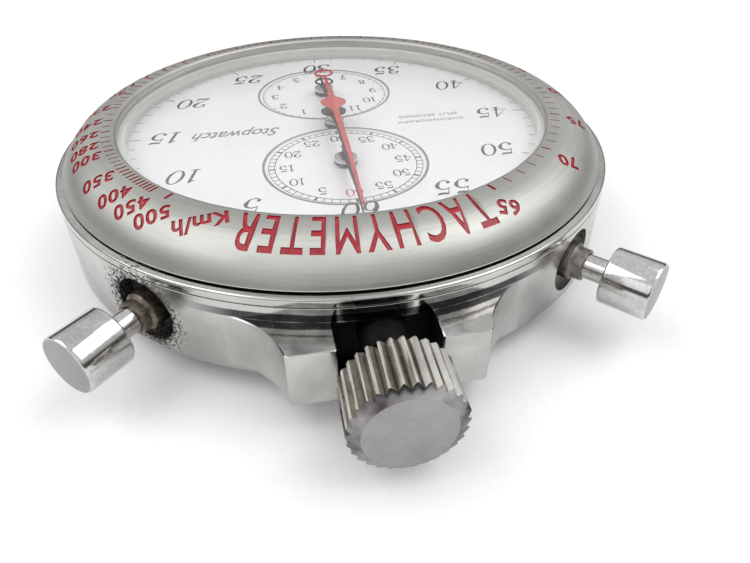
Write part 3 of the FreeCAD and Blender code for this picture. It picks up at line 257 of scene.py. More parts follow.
def dial_white():
    n = Nodes("dial_white")
    point = n.place()
    grain = n.noise(point, 9.0, 2.0)
    cloud = n.noise(point, 0.12, 2.0)
    colour = n.ramp(n.blend(grain, 0.3, cloud, 0.7),
                    (0.3, (0.86, 0.86, 0.875)), (0.7, (0.905, 0.905, 0.915)))
    return n.shader(colour, n.span(grain, 0.3, 0.7, 0.34, 0.44), n.bump(grain, 0.002 * MM, 0.3))


def glass():
    """Clear glass with a weak reflection. It doesn't bend light, so what is under it stays put."""
    n = Nodes("crystal_glass")
    smudge = n.noise(n.place(), 0.22, 4.0, 0.6)
    clear = n.add("BsdfTransparent")
    mirror = n.add("BsdfGlossy", Roughness=n.span(smudge, 0.4, 0.8, 0.0, 0.06))
    edge = n.add("Fresnel", IOR=1.4)
    layers = n.add("MixShader")
    for item, socket in zip((n.math("MULTIPLY", edge.outputs[0], 0.3), clear.outputs[0],
                             mirror.outputs[0]), layers.inputs):
        n.join(item, socket)
    n.join(layers.outputs[0], n.out.inputs["Surface"])
    return n.material


def ruby():
    n = Nodes("ruby_jewel")
    cloud = n.noise(n.place(), 4.0, 3.0)
    colour = n.ramp(cloud, (0.3, (0.42, 0.01, 0.05)), (0.7, (0.62, 0.02, 0.1)))
    return n.shader(colour, n.span(cloud, 0.3, 0.7, 0.05, 0.12), None, Transmission_Weight=0.3)


def floor_paper():
    n = Nodes("floor_paper")
    grain = n.noise(n.place(), 1.2, 3.0)
    colour = n.ramp(grain, (0.3, (0.93, 0.93, 0.935)), (0.7, (0.95, 0.95, 0.95)))
    return n.shader(colour, 0.75, n.bump(grain, 0.01 * MM, 0.2))


MATERIALS = {
    "bezel": turned_steel("bezel_steel", (0.52, 0.52, 0.49), (0.38, 0.38, 0.36), 0.45, 0.07),
    "back": turned_steel("back_steel", (0.66, 0.66, 0.65), (0.5, 0.5, 0.49), 0.24, 0.06),
    "case": case_metal(),
    "polished": plain_metal("polished_steel", (0.68, 0.67, 0.66), (0.42, 0.41, 0.4), 0.1, 0.05),
    # near-black painted shade for the recess between the crown guards and the crown sleeve inside it
    "gap_shade": plain_metal("gap_painted_shade", (0.03, 0.028, 0.027), (0.012, 0.011, 0.011), 0.62, 0.1,
                         grain=1.4, depth=0.02),
    "flutes": plain_metal("flute_steel", (0.8, 0.79, 0.74), (0.5, 0.48, 0.44), 0.16, 0.06, grain=1.6,
                          stretch=(2.5, 0.5, 2.5), depth=0.012),
    # a darker steel laid in the crown's flute valleys: painted shade
    "valley_shade": plain_metal("flute_valley_painted_shade", (0.3, 0.27, 0.22), (0.12, 0.11, 0.09), 0.3, 0.08,
                          grain=1.6, depth=0.012),
    # near-black patches on the crown's polished chamfer: a painted dark reflection
    "chamfer": plain_metal("chamfer_painted_reflection_steel", (0.36, 0.35, 0.35), (0.07, 0.06, 0.07), 0.12, 0.06,
                           grain=0.35),
    "corroded": plain_metal("corroded_steel", (0.3, 0.26, 0.2), (0.02, 0.018, 0.015), 0.4, 0.14,
                            grain=2.6, depth=0.05),
    "satin_face": plain_metal("satin_end_steel", (0.38, 0.37, 0.36), (0.26, 0.255, 0.25), 0.36, 0.07,
                              stretch=(5, 1, 0.5), depth=0.02),
    "dull": plain_metal("stained_steel", (0.33, 0.31, 0.28), (0.05, 0.045, 0.04), 0.42, 0.12,
                        grain=1.6, depth=0.03),
    "tool": plain_metal("tool_steel", (0.5, 0.5, 0.51), (0.38, 0.38, 0.39), 0.3, 0.08,
                        stretch=(1, 6, 1)),
    "brass": plain_metal("brass", (0.83, 0.62, 0.28), (0.66, 0.46, 0.18), 0.26, 0.07,
                         stretch=(1, 4, 1)),
    "gilt": plain_metal("gilt_plate", (0.86, 0.68, 0.36), (0.72, 0.53, 0.25), 0.34, 0.06,
                        grain=5.0),
    "blued": plain_metal("blued_steel", (0.05, 0.055, 0.08), (0.025, 0.028, 0.04), 0.28, 0.08),
    "ring": plain_metal("movement_ring_metal", (0.6, 0.6, 0.6), (0.48, 0.48, 0.48), 0.4, 0.06),
    "red": paint("red_hand_lacquer", (0.66, 0.035, 0.03), (0.5, 0.02, 0.02), 0.24, 0.05,
                 Coat_Weight=0.3),
    "red_fill": paint("red_engraving_fill", (0.42, 0.012, 0.025), (0.26, 0.006, 0.016), 0.36, 0.08,
                      scale=2.4, depth=0.02),
    "red_ink": paint("red_ink", (0.62, 0.06, 0.06), (0.5, 0.04, 0.04), 0.5, 0.08),
    "black_ink": paint("black_ink", (0.018, 0.018, 0.022), (0.01, 0.01, 0.012), 0.45, 0.1),
    # grey for the rings round the sub-dials: painted shade standing for their recess walls
    "edge_ink": paint("edge_ink", (0.2, 0.2, 0.19), (0.15, 0.15, 0.14), 0.4, 0.1),
    "grey_ink": paint("grey_ink", (0.2, 0.2, 0.21), (0.15, 0.15, 0.16), 0.5, 0.1),
    "flange": paint("flange_enamel", (0.8, 0.8, 0.76), (0.74, 0.74, 0.7), 0.4, 0.06, scale=0.4),
    "dial": dial_white(),
    "glass": glass(),
    "ruby": ruby(),
}


# ------------------------------------------------------------------ mesh making
def make(name, points, faces, materials, body, slot, indices=None, crease=28, stands_for=()):
    """A mesh piece from points in millimetres, shaded smooth except across its creases."""
    mesh = bpy.data.meshes.new(name)
    mesh.from_pydata([Vector(p) * MM for p in points], [], faces)
    for material in materials:
        mesh.materials.append(MATERIALS[material])
    if indices is not None:
        mesh.polygons.foreach_set("material_index", indices)
    mesh.validate()
    mesh.shade_smooth()
    mesh.set_sharp_from_angle(angle=math.radians(crease))
    item = bpy.data.objects.new(name, mesh)
    bpy.context.scene.collection.objects.link(item)
    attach(item, body)
    if stands_for:
        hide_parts(*stands_for)
    return item


def arc_points(start, end, radius, count):
    """Points after start up to end on an arc: positive radius keeps the centre on the left."""
    start, end = Vector(start), Vector(end)
    chord = end - start
    normal = Vector((-chord.y, chord.x)).normalized()
    rise = math.sqrt(max(radius * radius - (chord.length / 2) ** 2, 0))
    centre = (start + end) / 2 + normal * math.copysign(rise, radius)
    first = start - centre
    sweep = first.angle_signed(end - centre)
    points = []
    for step in range(1, count + 1):
        turn = -sweep * step / count
        cosine, sine = math.cos(turn), math.sin(turn)
        points.append((centre.x + first.x * cosine - first.y * sine,
                       centre.y + first.x * sine + first.y * cosine))
    return points


def profile(*corners):
    """A lathe profile: (r, z), (r, z, ("arc", radius)) or (r, z, ("soft", radius)) for a corner."""
    plain = [c[:2] for c in corners]
    points = []
    for index, corner in enumerate(corners):
        kind = corner[2] if len(corner) > 2 else None
        if kind is None:
            points.append(plain[index])
        elif kind[0] == "arc":
            points.extend(arc_points(points[-1], plain[index], kind[1], 28))
        else:
            here = Vector(plain[index])
            before = Vector(points[-1]) - here
            after = Vector(plain[(index + 1) % len(plain)]) - here
            size = min(kind[1], before.length * 0.49, after.length * 0.49)
            first, last = here + before.normalized() * size, here + after.normalized() * size
            for step in range(5):
                t = step / 4
                points.append(tuple(first * (1 - t) ** 2 + here * 2 * t * (1 - t) + last * t * t))
    return points


def lathe_data(outline, segments, turn=None, closed=True):
    """Points and faces of an outline of (r, z) swept round Z, or round the line turn gives."""
    points, faces, rows = [], [], []
    for radius, height in outline:
        if radius < 1e-6:
            rows.append([len(points)] * segments)
            points.append((0, 0, height))
            continue
        rows.append(list(range(len(points), len(points) + segments)))
        for step in range(segments):
            angle = 2 * math.pi * step / segments
            points.append((radius * math.cos(angle), radius * math.sin(angle), height))
    for index in range(len(rows) if closed else len(rows) - 1):
        low, high = rows[index], rows[(index + 1) % len(rows)]
        for step in range(segments):
            after = (step + 1) % segments
            corners = []
            for corner in (low[step], low[after], high[after], high[step]):
                if corner not in corners:
                    corners.append(corner)
            if len(corners) > 2:
                faces.append(corners)
    if turn is not None:
        points = [tuple(turn @ Vector(p)) for p in points]
    return points, faces


def lathe(name, outline, materials, body, slot, segments=256, turn=None, stands_for=(), pick=None):
    """A turned piece. Where it has two materials, pick chooses each face's from its middle."""
    points, faces = lathe_data(outline, segments, turn)
    indices = None
    if pick is not None:
        plain, _ = lathe_data(outline, segments)
        indices = [pick(sum((Vector(plain[i]) for i in face), Vector()) / len(face))
                   for face in faces]
    return make(name, points, faces, materials, body, slot, indices, stands_for=stands_for)


def outward(angle, height):
    """Turns local +Z to the radial line that many degrees clockwise from 12 o'clock."""
    spin = Matrix.Rotation(math.radians(-angle), 4, "Z") @ Matrix.Rotation(math.radians(-90), 4, "X")
    return Matrix.Translation((0, 0, height)) @ spin


# ------------------------------------------------------------------ lettering
def word_loops(text, size, bold=0.0, squeeze=1.0, spacing=1.0):
    """The outlines of a centred word as loops of (x, y) millimetres, its caps resting on y = 0."""
    curve = bpy.data.curves.new("word", "FONT")
    curve.body = text
    curve.align_x = "CENTER"
    curve.size = size
    curve.offset = bold
    curve.space_character = spacing
    curve.resolution_u = 4
    source = bpy.data.objects.new("word", curve)
    bpy.context.scene.collection.objects.link(source)
    bpy.context.view_layer.update()
    evaluated = source.evaluated_get(bpy.context.evaluated_depsgraph_get())
    mesh = bpy.data.meshes.new_from_object(evaluated)
    loops = border_loops(mesh)
    loops = [[(x * squeeze, y) for x, y in loop] for loop in loops]
    bpy.data.objects.remove(source)
    bpy.data.curves.remove(curve)
    bpy.data.meshes.remove(mesh)
    return loops


def border_loops(mesh):
    """Loops of points along the edges that have one face."""
    uses = {}
    for face in mesh.polygons:
        for key in face.edge_keys:
            uses[key] = uses.get(key, 0) + 1
    joined = {}
    for (first, last), count in uses.items():
        if count == 1:
            joined.setdefault(first, []).append(last)
            joined.setdefault(last, []).append(first)
    loops, used = [], set()
    for start in joined:
        if start in used:
            continue
        loop, here, before = [], start, None
        while here is not None and here not in used:
            used.add(here)
            loop.append(tuple(mesh.vertices[here].co[:2]))
            onward = [n for n in joined[here] if n != before and n not in used]
            before, here = here, (onward[0] if onward else None)
        if len(loop) > 2:
            loops.append(loop)
    return loops


def inside(loops, points):
    """Which points lie inside the loops, holes left out."""
    within = np.zeros(len(points), bool)
    for loop in loops:
        ring = np.array(loop)
        following = np.roll(ring, -1, axis=0)
        for (x1, y1), (x2, y2) in zip(ring, following):
            if y1 == y2:
                continue
            crosses = (y1 > points[:, 1]) != (y2 > points[:, 1])
            reach = (x2 - x1) * (points[:, 1] - y1) / (y2 - y1) + x1
            within ^= crosses & (points[:, 0] < reach)
    return within


def triangulated(grid, groups):
    """Triangles over grid points and the groups' loops, and the group each triangle is in."""
    points, edges = [Vector(p) for p in grid], []
    for loops in groups:
        for loop in loops:
            first = len(points)
            points.extend(Vector(p) for p in loop)
            count = len(loop)
            edges.extend((first + i, first + (i + 1) % count) for i in range(count))
    spots, _, faces = geometry.delaunay_2d_cdt(points, edges, [], 0, 1e-6)[:3]
    spots = np.array([tuple(p) for p in spots])
    faces = np.array(faces)
    centres = spots[faces].mean(axis=1)
    owner = np.full(len(faces), -1)
    for index, loops in enumerate(groups):
        corners = np.concatenate([np.array(loop) for loop in loops])
        low, high = corners.min(axis=0), corners.max(axis=0)
        near = np.where(np.all((centres >= low) & (centres <= high), axis=1))[0]
        hits = near[inside(loops, centres[near])]
        owner[hits] = index
    return spots, faces, owner


# ------------------------------------------------------------------ bezel
BEZEL_OUTLINE = profile(
    (27.6, 10.7), (28.6, 10.7), (28.6, 11.45), (30.28, 11.45, ("soft", 0.12)),
    (25.1, 15.12, ("arc", 6.07)), (24.4, 15.12), (24.0, 14.86, ("arc", 0.5)),
    (24.0, 14.02), (25.6, 14.02), (25.6, 12.2), (27.6, 12.2),
)
ENGRAVED_DEPTH = 0.11
TICK_INNER, TICK_OUTER = 24.46, 25.46


def bezel_crown():
    """The bezel's upper side from its brim to its inner edge: (r, z) and the length along it."""
    start = next(i for i, p in enumerate(BEZEL_OUTLINE) if p[0] > 30.1 and p[1] > 11.5)
    end = next(i for i, p in enumerate(BEZEL_OUTLINE) if abs(p[0] - 24.4) < 1e-6)
    side = [Vector(p) for p in BEZEL_OUTLINE[start:end + 1]][::-1]
    lengths = [0.0]
    for before, after in zip(side, side[1:]):
        lengths.append(lengths[-1] + (after - before).length)
    return np.array([tuple(p) for p in side]), np.array(lengths), start, end


CROWN_SIDE, CROWN_LENGTHS, CROWN_START, CROWN_END = bezel_crown()
SPREAD = 27.0


def crown_at(along):
    """Radius and height of the bezel's upper side, a length out from its flat's edge."""
    return [np.interp(along, CROWN_LENGTHS, CROWN_SIDE[:, axis]) for axis in (0, 1)]


def on_bezel(across, along, depth=0.0):
    """The bezel's point at an angle (as a length at SPREAD) and a length out from its flat's edge."""
    radius, height = crown_at(along)
    nudge = 0.05
    outer, inner = crown_at(along + nudge), crown_at(along - nudge)
    slope_r, slope_z = outer[0] - inner[0], outer[1] - inner[1]
    size = np.hypot(slope_r, slope_z)
    radius = radius + slope_z / size * depth
    height = height - slope_r / size * depth
    angle = across / SPREAD
    return np.stack([radius * np.sin(angle), radius * np.cos(angle), height], axis=-1)


def placed_label(loops, angle, along, level=True):
    """A label's loops laid on the bezel, level with the X axis or bent round the bezel."""
    turn = math.radians(angle)
    radius = float(crown_at(along)[0])
    placed = []
    for loop in loops:
        bent = []
        for x, y in loop:
            if level:
                out = x * math.sin(turn) + y * math.cos(turn)
                side = x * math.cos(turn) - y * math.sin(turn)
            else:
                out, side = y, x
            bent.append(((turn + side / radius) * SPREAD, along + out))
        placed.append(bent)
    return placed


def lowered(loops, drop):
    return [[(x, y - drop) for x, y in loop] for loop in loops]


def speed_angle(speed):
    """Where a speed stands, in degrees clockwise from 12 o'clock: one turn is 60 seconds."""
    angle = 3600 / speed * 6
    return angle - 360 if angle > 180 else angle


def bezel_marks():
    labels = [*range(65, 100, 5), *range(100, 200, 10), *range(200, 300, 20), *range(300, 501, 50)]
    speeds = [*range(65, 100), *range(100, 150, 2), *range(150, 220, 5), *range(220, 451, 10), 500]
    groups = []
    inner, outer = TICK_INNER - CROWN_SIDE[0][0], TICK_OUTER - CROWN_SIDE[0][0]
    for speed in sorted(set(speeds) | set(labels)):
        half = 0.12 if speed in labels or speed > 350 else 0.075
        if speed in (65, 500):
            half = 0.17
        middle = math.radians(speed_angle(speed)) * SPREAD
        groups.append([[(middle - half, inner), (middle + half, inner),
                        (middle + half, outer), (middle - half, outer)]])
    for speed in labels:
        loops = lowered(word_loops(str(speed), 2.2, bold=0.075, spacing=1.14), 0.75)
        angle = speed_angle(speed)
        lift = 0.35 * math.cos(math.radians(angle)) + 2.95
        nudge = -0.8 if speed == 500 or angle < 0 else 0.3
        groups.append(placed_label(loops, angle + nudge * math.copysign(1, angle), lift))
    unit = lowered(word_loops("Km/h", 2.3, bold=0.07, spacing=1.04), 0.8)
    groups.append(placed_label(unit, 32.2, 2.4))
    word = word_loops("TACHYMETER", 5.75, bold=0.06, squeeze=0.475, spacing=1.3)
    groups.append(placed_label(word, 0.9, 0.3, level=False))
    return groups


def outer_edges(triangles):
    """The directed edges that only one of the triangles has."""
    edges = {(int(t[i]), int(t[(i + 1) % 3])): None for t in triangles for i in range(3)}
    return [(a, b) for a, b in edges if (b, a) not in edges]


def build_bezel():
    groups = bezel_marks()
    rows = [float(x) for x in CROWN_LENGTHS[1:-1]]
    last = float(CROWN_LENGTHS[-1])
    seam = math.pi * SPREAD
    columns = 360
    shift = 2.3
    grid = []
    for column in range(columns + 1):
        across = -seam + shift + 2 * seam * column / columns
        grid.extend((across, along) for along in (0.0, *rows, last))
    wrapped = []
    for loops in groups:
        middle = np.mean([p[0] for loop in loops for p in loop])
        turn = 2 * seam if middle < -seam + shift else 0
        wrapped.append([[(x + turn, y) for x, y in loop] for loop in loops])
    spots, faces, owner = triangulated(grid, wrapped)
    top = on_bezel(spots[:, 0], spots[:, 1])
    floor = on_bezel(spots[:, 0], spots[:, 1], ENGRAVED_DEPTH)
    points = [tuple(p) for p in top]
    polygons = [tuple(f) for f in faces[owner < 0]]
    indices = [0] * len(polygons)
    sunk = faces[owner >= 0]
    used = np.unique(sunk)
    lookup = {int(v): len(points) + i for i, v in enumerate(used)}
    points.extend(tuple(floor[v]) for v in used)
    polygons.extend(tuple(lookup[int(v)] for v in f) for f in sunk)
    indices.extend([1] * len(sunk))
    wall_top = {}
    for a, b in outer_edges(sunk):
        for v in (a, b):
            if v not in wall_top:
                wall_top[v] = len(points)
                points.append(tuple(top[v]))
                points.append(tuple(floor[v]))
        polygons.append((wall_top[a], wall_top[b], wall_top[b] + 1, wall_top[a] + 1))
        indices.append(1)
    rest = [BEZEL_OUTLINE[i % len(BEZEL_OUTLINE)]
            for i in range(CROWN_END, len(BEZEL_OUTLINE) + CROWN_START + 1)]
    below, below_faces = lathe_data(rest, columns, closed=False)
    spin = Matrix.Rotation(math.radians(90) - shift / SPREAD, 4, "Z")
    first = len(points)
    points.extend(tuple(spin @ Vector(p)) for p in below)
    polygons.extend(tuple(first + v for v in face) for face in below_faces)
    indices.extend([0] * len(below_faces))
    item = make("engraved_bezel", points, polygons, ("bezel", "red_fill"), "case", "brushed_bezel",
                indices, stands_for=("bezel",))
    normals_from_shape(item, spots, len(top))
    return item


def normals_from_shape(item, spots, count):
    """Gives the bezel's upper face the lathe shape's own normals."""
    near = on_bezel(spots[:, 0], spots[:, 1])
    deep = on_bezel(spots[:, 0], spots[:, 1], 1.0)
    upward = near - deep
    mesh = item.data
    corner_points = np.zeros(len(mesh.loops), int)
    mesh.loops.foreach_get("vertex_index", corner_points)
    normals = np.zeros(len(mesh.loops) * 3, np.float32)
    mesh.corner_normals.foreach_get("vector", normals)
    normals = normals.reshape(-1, 3)
    on_top = corner_points < count
    normals[on_top] = upward[corner_points[on_top]]
    mesh.normals_split_custom_set([tuple(n) for n in normals])


build_bezel()


# ------------------------------------------------------------------ dial and its printing
DIAL_TOP, DIAL_UNDER, SUNK = 12.5, 12.1, 12.35
MINUTE_DIAL, MINUTE_RADIUS = (0.0, 9.7), 8.54
HOUR_DIAL, HOUR_RADIUS = (0.0, -10.29), 8.33
INK = 0.02


def circle(centre, radius, count=96):
    return oval(*centre, radius, radius, count)


def build_dial():
    rings = [circle((0, 0), r, 180) for r in (25.4, 23.0, 19.0, 14.0)]
    grid = [p for ring in rings for p in ring]
    sunk = [circle(MINUTE_DIAL, MINUTE_RADIUS, 180), circle(HOUR_DIAL, HOUR_RADIUS, 180)]
    holes = [circle((0, 0), 0.8, 48), circle(MINUTE_DIAL, 0.45, 32), circle(HOUR_DIAL, 0.45, 32)]
    spots, faces, owner = triangulated(grid, [[loop] for loop in sunk + holes])
    levels = {-1: DIAL_TOP, 0: SUNK, 1: SUNK}
    points, polygons = [], []
    for group, level in levels.items():
        first = len(points)
        points.extend((x, y, level) for x, y in spots)
        polygons.extend(tuple(first + int(v) for v in f) for f in faces[owner == group])
    first = len(points)
    points.extend((x, y, DIAL_UNDER) for x, y in spots)
    polygons.extend(tuple(first + int(v) for v in f[::-1]) for f in faces[owner < 2])
    walls = [(sunk[0], SUNK, DIAL_TOP), (sunk[1], SUNK, DIAL_TOP),
             (holes[0], DIAL_UNDER, DIAL_TOP), (holes[1], DIAL_UNDER, SUNK),
             (holes[2], DIAL_UNDER, SUNK), (rings[0], DIAL_TOP, DIAL_UNDER)]
    for loop, low, high in walls:
        add_wall(points, polygons, loop, low, high)
    make("dial_plate", *dropped(points, polygons), ("dial",), "case", "dial", stands_for=("dial",))


def add_wall(points, polygons, loop, low, high):
    first, count = len(points), len(loop)
    points.extend((x, y, low) for x, y in loop)
    points.extend((x, y, high) for x, y in loop)
    for i in range(count):
        after = (i + 1) % count
        polygons.append((first + after, first + i, first + count + i, first + count + after))


def dropped(points, polygons):
    """The same mesh without points that no face uses."""
    used = sorted({v for face in polygons for v in face})
    lookup = {v: i for i, v in enumerate(used)}
    return [points[v] for v in used], [tuple(lookup[v] for v in face) for face in polygons]


def printed(name, groups, material, level):
    """Ink laid on the dial: the groups' loops as thin raised prints."""
    points, polygons = [], []
    spots, faces, owner = triangulated([], groups)
    shown = faces[owner >= 0]
    points.extend((x, y, level + INK) for x, y in spots)
    polygons.extend(tuple(int(v) for v in f) for f in shown)
    first = len(points)
    points.extend((x, y, level) for x, y in spots)
    polygons.extend((b, a, first + a, first + b) for a, b in outer_edges(shown))
    make(name, *dropped(points, polygons), (material,), "case", "dial")


def stroke(*controls, count=10):
    """A loop round a smooth line through (x, y, width) points."""
    data = np.array(controls, float)
    line = []
    for i in range(len(data) - 1):
        before = data[max(i - 1, 0)]
        here, there = data[i], data[i + 1]
        after = data[min(i + 2, len(data) - 1)]
        for step in range(count):
            t = step / count
            line.append(0.5 * (2 * here + (there - before) * t
                               + (2 * before - 5 * here + 4 * there - after) * t * t
                               + (3 * here - before - 3 * there + after) * t ** 3))
    line.append(data[-1])
    line = np.array(line)
    along = np.gradient(line[:, :2], axis=0)
    along /= np.linalg.norm(along, axis=1)[:, None]
    side = np.stack([-along[:, 1], along[:, 0]], axis=1) * line[:, 2:] / 2
    return [tuple(p) for p in np.concatenate([line[:, :2] + side, (line[:, :2] - side)[::-1]])]


def oval(x, y, across, tall, count=40):
    return [(x + across * math.cos(2 * math.pi * i / count),
             y + tall * math.sin(2 * math.pi * i / count)) for i in range(count)]


def numeral(digit):
    """A serif digit one unit tall as groups of loops, thick upright strokes and hairlines."""
    hair, stem = 0.05, 0.155
    if digit == "0":
        return [[oval(0, 0.5, 0.31, 0.51), oval(0, 0.5, 0.195, 0.475)]]
    if digit == "1":
        return [[[(-0.055, 0.02), (0.055, 0.02), (0.055, 1.0), (-0.055, 0.93)]],
                [[(-0.17, 0.0), (0.17, 0.0), (0.17, hair), (-0.17, hair)]],
                [[(-0.18, 0.85), (-0.17, 0.82), (0.02, 0.9), (0.055, 1.0), (0.0, 1.0)]]]
    if digit == "2":
        return [[stroke((-0.25, 0.72, hair), (-0.2, 0.92, hair), (0.0, 0.985, hair),
                        (0.19, 0.87, 0.1), (0.2, 0.66, stem), (0.05, 0.42, 0.06),
                        (-0.16, 0.2, hair), (-0.25, 0.03, hair))],
                [oval(-0.18, 0.74, 0.07, 0.07, 20)],
                [[(-0.27, 0.0), (0.25, 0.0), (0.29, 0.24), (0.26, 0.24), (0.2, 0.11), (-0.22, 0.1)]]]
    if digit == "3":
        return [[stroke((-0.24, 0.78, hair), (-0.16, 0.94, hair), (0.02, 0.985, hair),
                        (0.19, 0.86, 0.1), (0.17, 0.66, 0.1), (-0.02, 0.54, hair))],
                [stroke((-0.02, 0.54, hair), (0.2, 0.44, 0.1), (0.24, 0.24, stem),
                        (0.1, 0.04, 0.05), (-0.06, 0.015, hair), (-0.26, 0.16, hair))],
                [oval(-0.17, 0.79, 0.065, 0.065, 20)], [oval(-0.19, 0.2, 0.07, 0.07, 20)]]
    if digit == "4":
        return [[[(0.06, 0.02), (0.175, 0.02), (0.175, 1.0), (0.1, 1.0)]],
                [[(0.1, 1.0), (-0.3, 0.3), (-0.3, 0.26), (0.12, 0.96)]],
                [[(-0.3, 0.255), (0.32, 0.255), (0.32, 0.29), (-0.3, 0.29)]],
                [[(-0.02, 0.0), (0.26, 0.0), (0.26, hair), (-0.02, hair)]]]
    if digit == "5":
        return [[[(-0.2, 0.985), (0.0, 0.965), (0.23, 1.0), (0.17, 0.865), (-0.02, 0.845),
                  (-0.19, 0.88)]],
                [[(-0.205, 0.99), (-0.175, 0.98), (-0.19, 0.55), (-0.225, 0.54)]],
                [stroke((-0.21, 0.55, hair), (-0.04, 0.635, hair), (0.16, 0.54, 0.09),
                        (0.22, 0.33, stem), (0.13, 0.09, 0.06), (-0.05, 0.015, hair),
                        (-0.25, 0.14, hair))],
                [oval(-0.18, 0.17, 0.07, 0.07, 20)]]
    if digit == "6":
        return [[oval(0.02, 0.31, 0.26, 0.315), oval(0.03, 0.31, 0.145, 0.28)],
                [stroke((-0.185, 0.3, stem), (-0.17, 0.58, stem), (-0.03, 0.87, 0.06),
                        (0.14, 0.985, hair), (0.22, 0.93, hair))],
                [oval(0.17, 0.88, 0.065, 0.065, 20)]]
    if digit == "7":
        return [[[(-0.25, 0.88), (-0.26, 1.0), (0.27, 1.0), (0.27, 0.96), (0.2, 0.88)]],
                [stroke((0.25, 0.95, hair), (0.07, 0.62, 0.06), (-0.03, 0.3, stem),
                        (-0.03, 0.02, stem))]]
    if digit == "8":
        return [[oval(0, 0.755, 0.225, 0.245), oval(0, 0.755, 0.12, 0.215)],
                [oval(0, 0.275, 0.27, 0.285), oval(0, 0.275, 0.155, 0.25)]]
    return [[[(-x, 1 - y) for x, y in loop] for loop in group] for group in numeral("6")]


def number(text, x, y, tall, pitch=0.66, slant=0.0):
    """A whole number as groups of loops, centred on (x, y)."""
    groups = []
    for index, digit in enumerate(text):
        narrow = 0.09 if "1" in text and len(text) > 1 else 0.0
        shift = (index - (len(text) - 1) / 2) * (pitch - narrow)
        for group in numeral(digit):
            groups.append([[(x + (px + shift + (py - 0.5) * slant) * tall,
                             y + (py - 0.5) * tall) for px, py in loop] for loop in group])
    return groups


def tick(centre, angle, inner, outer, width):
    """A radial mark, its angle in degrees clockwise from 12 o'clock."""
    turn = math.radians(angle)
    east, north = math.sin(turn), math.cos(turn)
    corners = ((-width / 2, inner), (width / 2, inner), (width / 2, outer), (-width / 2, outer))
    return [[(centre[0] + side * north + reach * east, centre[1] - side * east + reach * north)
             for side, reach in corners]]


def hoop(centre, radius, width):
    return [circle(centre, radius + width / 2, 128), circle(centre, radius - width / 2, 128)]


def words(text, x, y, size, squeeze=1.0, slant=0.0, bold=0.0, spacing=1.0):
    loops = word_loops(text, size, bold, squeeze, spacing)
    return [[(px + py * slant + x, py + y) for px, py in loop] for loop in loops]


def number_ring(centre, last, step, radius, tall):
    """The numbers step, twice step and so on round a centre, one every 30 degrees."""
    groups = []
    for index in range(1, last + 1):
        angle = math.radians(index * 30)
        groups += number(str(index * step), centre[0] + radius * math.sin(angle),
                         centre[1] + radius * math.cos(angle), tall)
    return groups


def build_printing():
    black, grey = [], []
    for index in range(1, 13):
        angle = math.radians(index * 30)
        aside = 0.42 if index == 1 else 0.0
        black += number(str(index * 5), 19.3 * math.sin(angle) + aside, 19.52 * math.cos(angle),
                        2.8, pitch=0.7, slant=0.24)
    for second in range(60):
        long = second % 5 == 0
        grey.append(tick((0, 0), second * 6, 22.0 if long else 22.5, 23.7, 0.11 if long else 0.07))
    for part in range(300):
        if part % 5:
            grey.append(tick((0, 0), part * 1.2, 23.2, 23.7, 0.04))
    printed("dial_numerals", black, "black_ink", DIAL_TOP)
    printed("dial_second_marks", grey, "grey_ink", DIAL_TOP)
    lines = [words("CHRONOGRAPH", -11.5, 0.55, 0.95, spacing=1.15),
             words("SPLIT SECONDS", -11.5, -0.95, 0.95, spacing=1.1)]
    printed("dial_function_words", lines, "grey_ink", DIAL_TOP)
    printed("dial_script_word", [words("Stopwatch", 11.2, -0.5, 2.9, 0.8, 0.4, 0.02)], "grey_ink",
            DIAL_TOP)
    minute = [hoop(MINUTE_DIAL, 7.5, 0.08), hoop(MINUTE_DIAL, 8.15, 0.06)]
    for mark in range(60):
        minute.append(tick(MINUTE_DIAL, mark * 6, 7.54, 8.12, 0.24 if mark % 5 == 0 else 0.07))
    minute += number_ring(MINUTE_DIAL, 11, 5, 6.2, 1.42)
    printed("minute_dial_print", minute, "black_ink", SUNK)
    printed("minute_dial_sixty", number("60", MINUTE_DIAL[0], MINUTE_DIAL[1] + 6.2, 1.42),
            "red_ink", SUNK)
    hour = [hoop(HOUR_DIAL, 7.9, 0.06)]
    for mark in range(48):
        hour.append(tick(HOUR_DIAL, mark * 7.5, 7.45 if mark % 4 == 0 else 7.65, 7.87, 0.07))
    hour += number_ring(HOUR_DIAL, 12, 1, 6.35, 1.5)
    printed("hour_dial_print", hour, "black_ink", SUNK)
    # grey rings printed round the sub-dials' rims: painted shade for the shaded recess walls
    edges = [hoop(MINUTE_DIAL, MINUTE_RADIUS + 0.13, 0.26),
             hoop(HOUR_DIAL, HOUR_RADIUS + 0.11, 0.22)]
    printed("counter_edge_shade", edges, "edge_ink", DIAL_TOP)


build_dial()
build_printing()


# ------------------------------------------------------------------ hands
def add_part(points, polygons, part, faces, shift):
    """Adds a part, moved by shift, to a mesh under way."""
    first = len(points)
    points.extend((x + shift[0], y + shift[1], z) for x, y, z in part)
    polygons.extend(tuple(first + v for v in face) for face in faces)


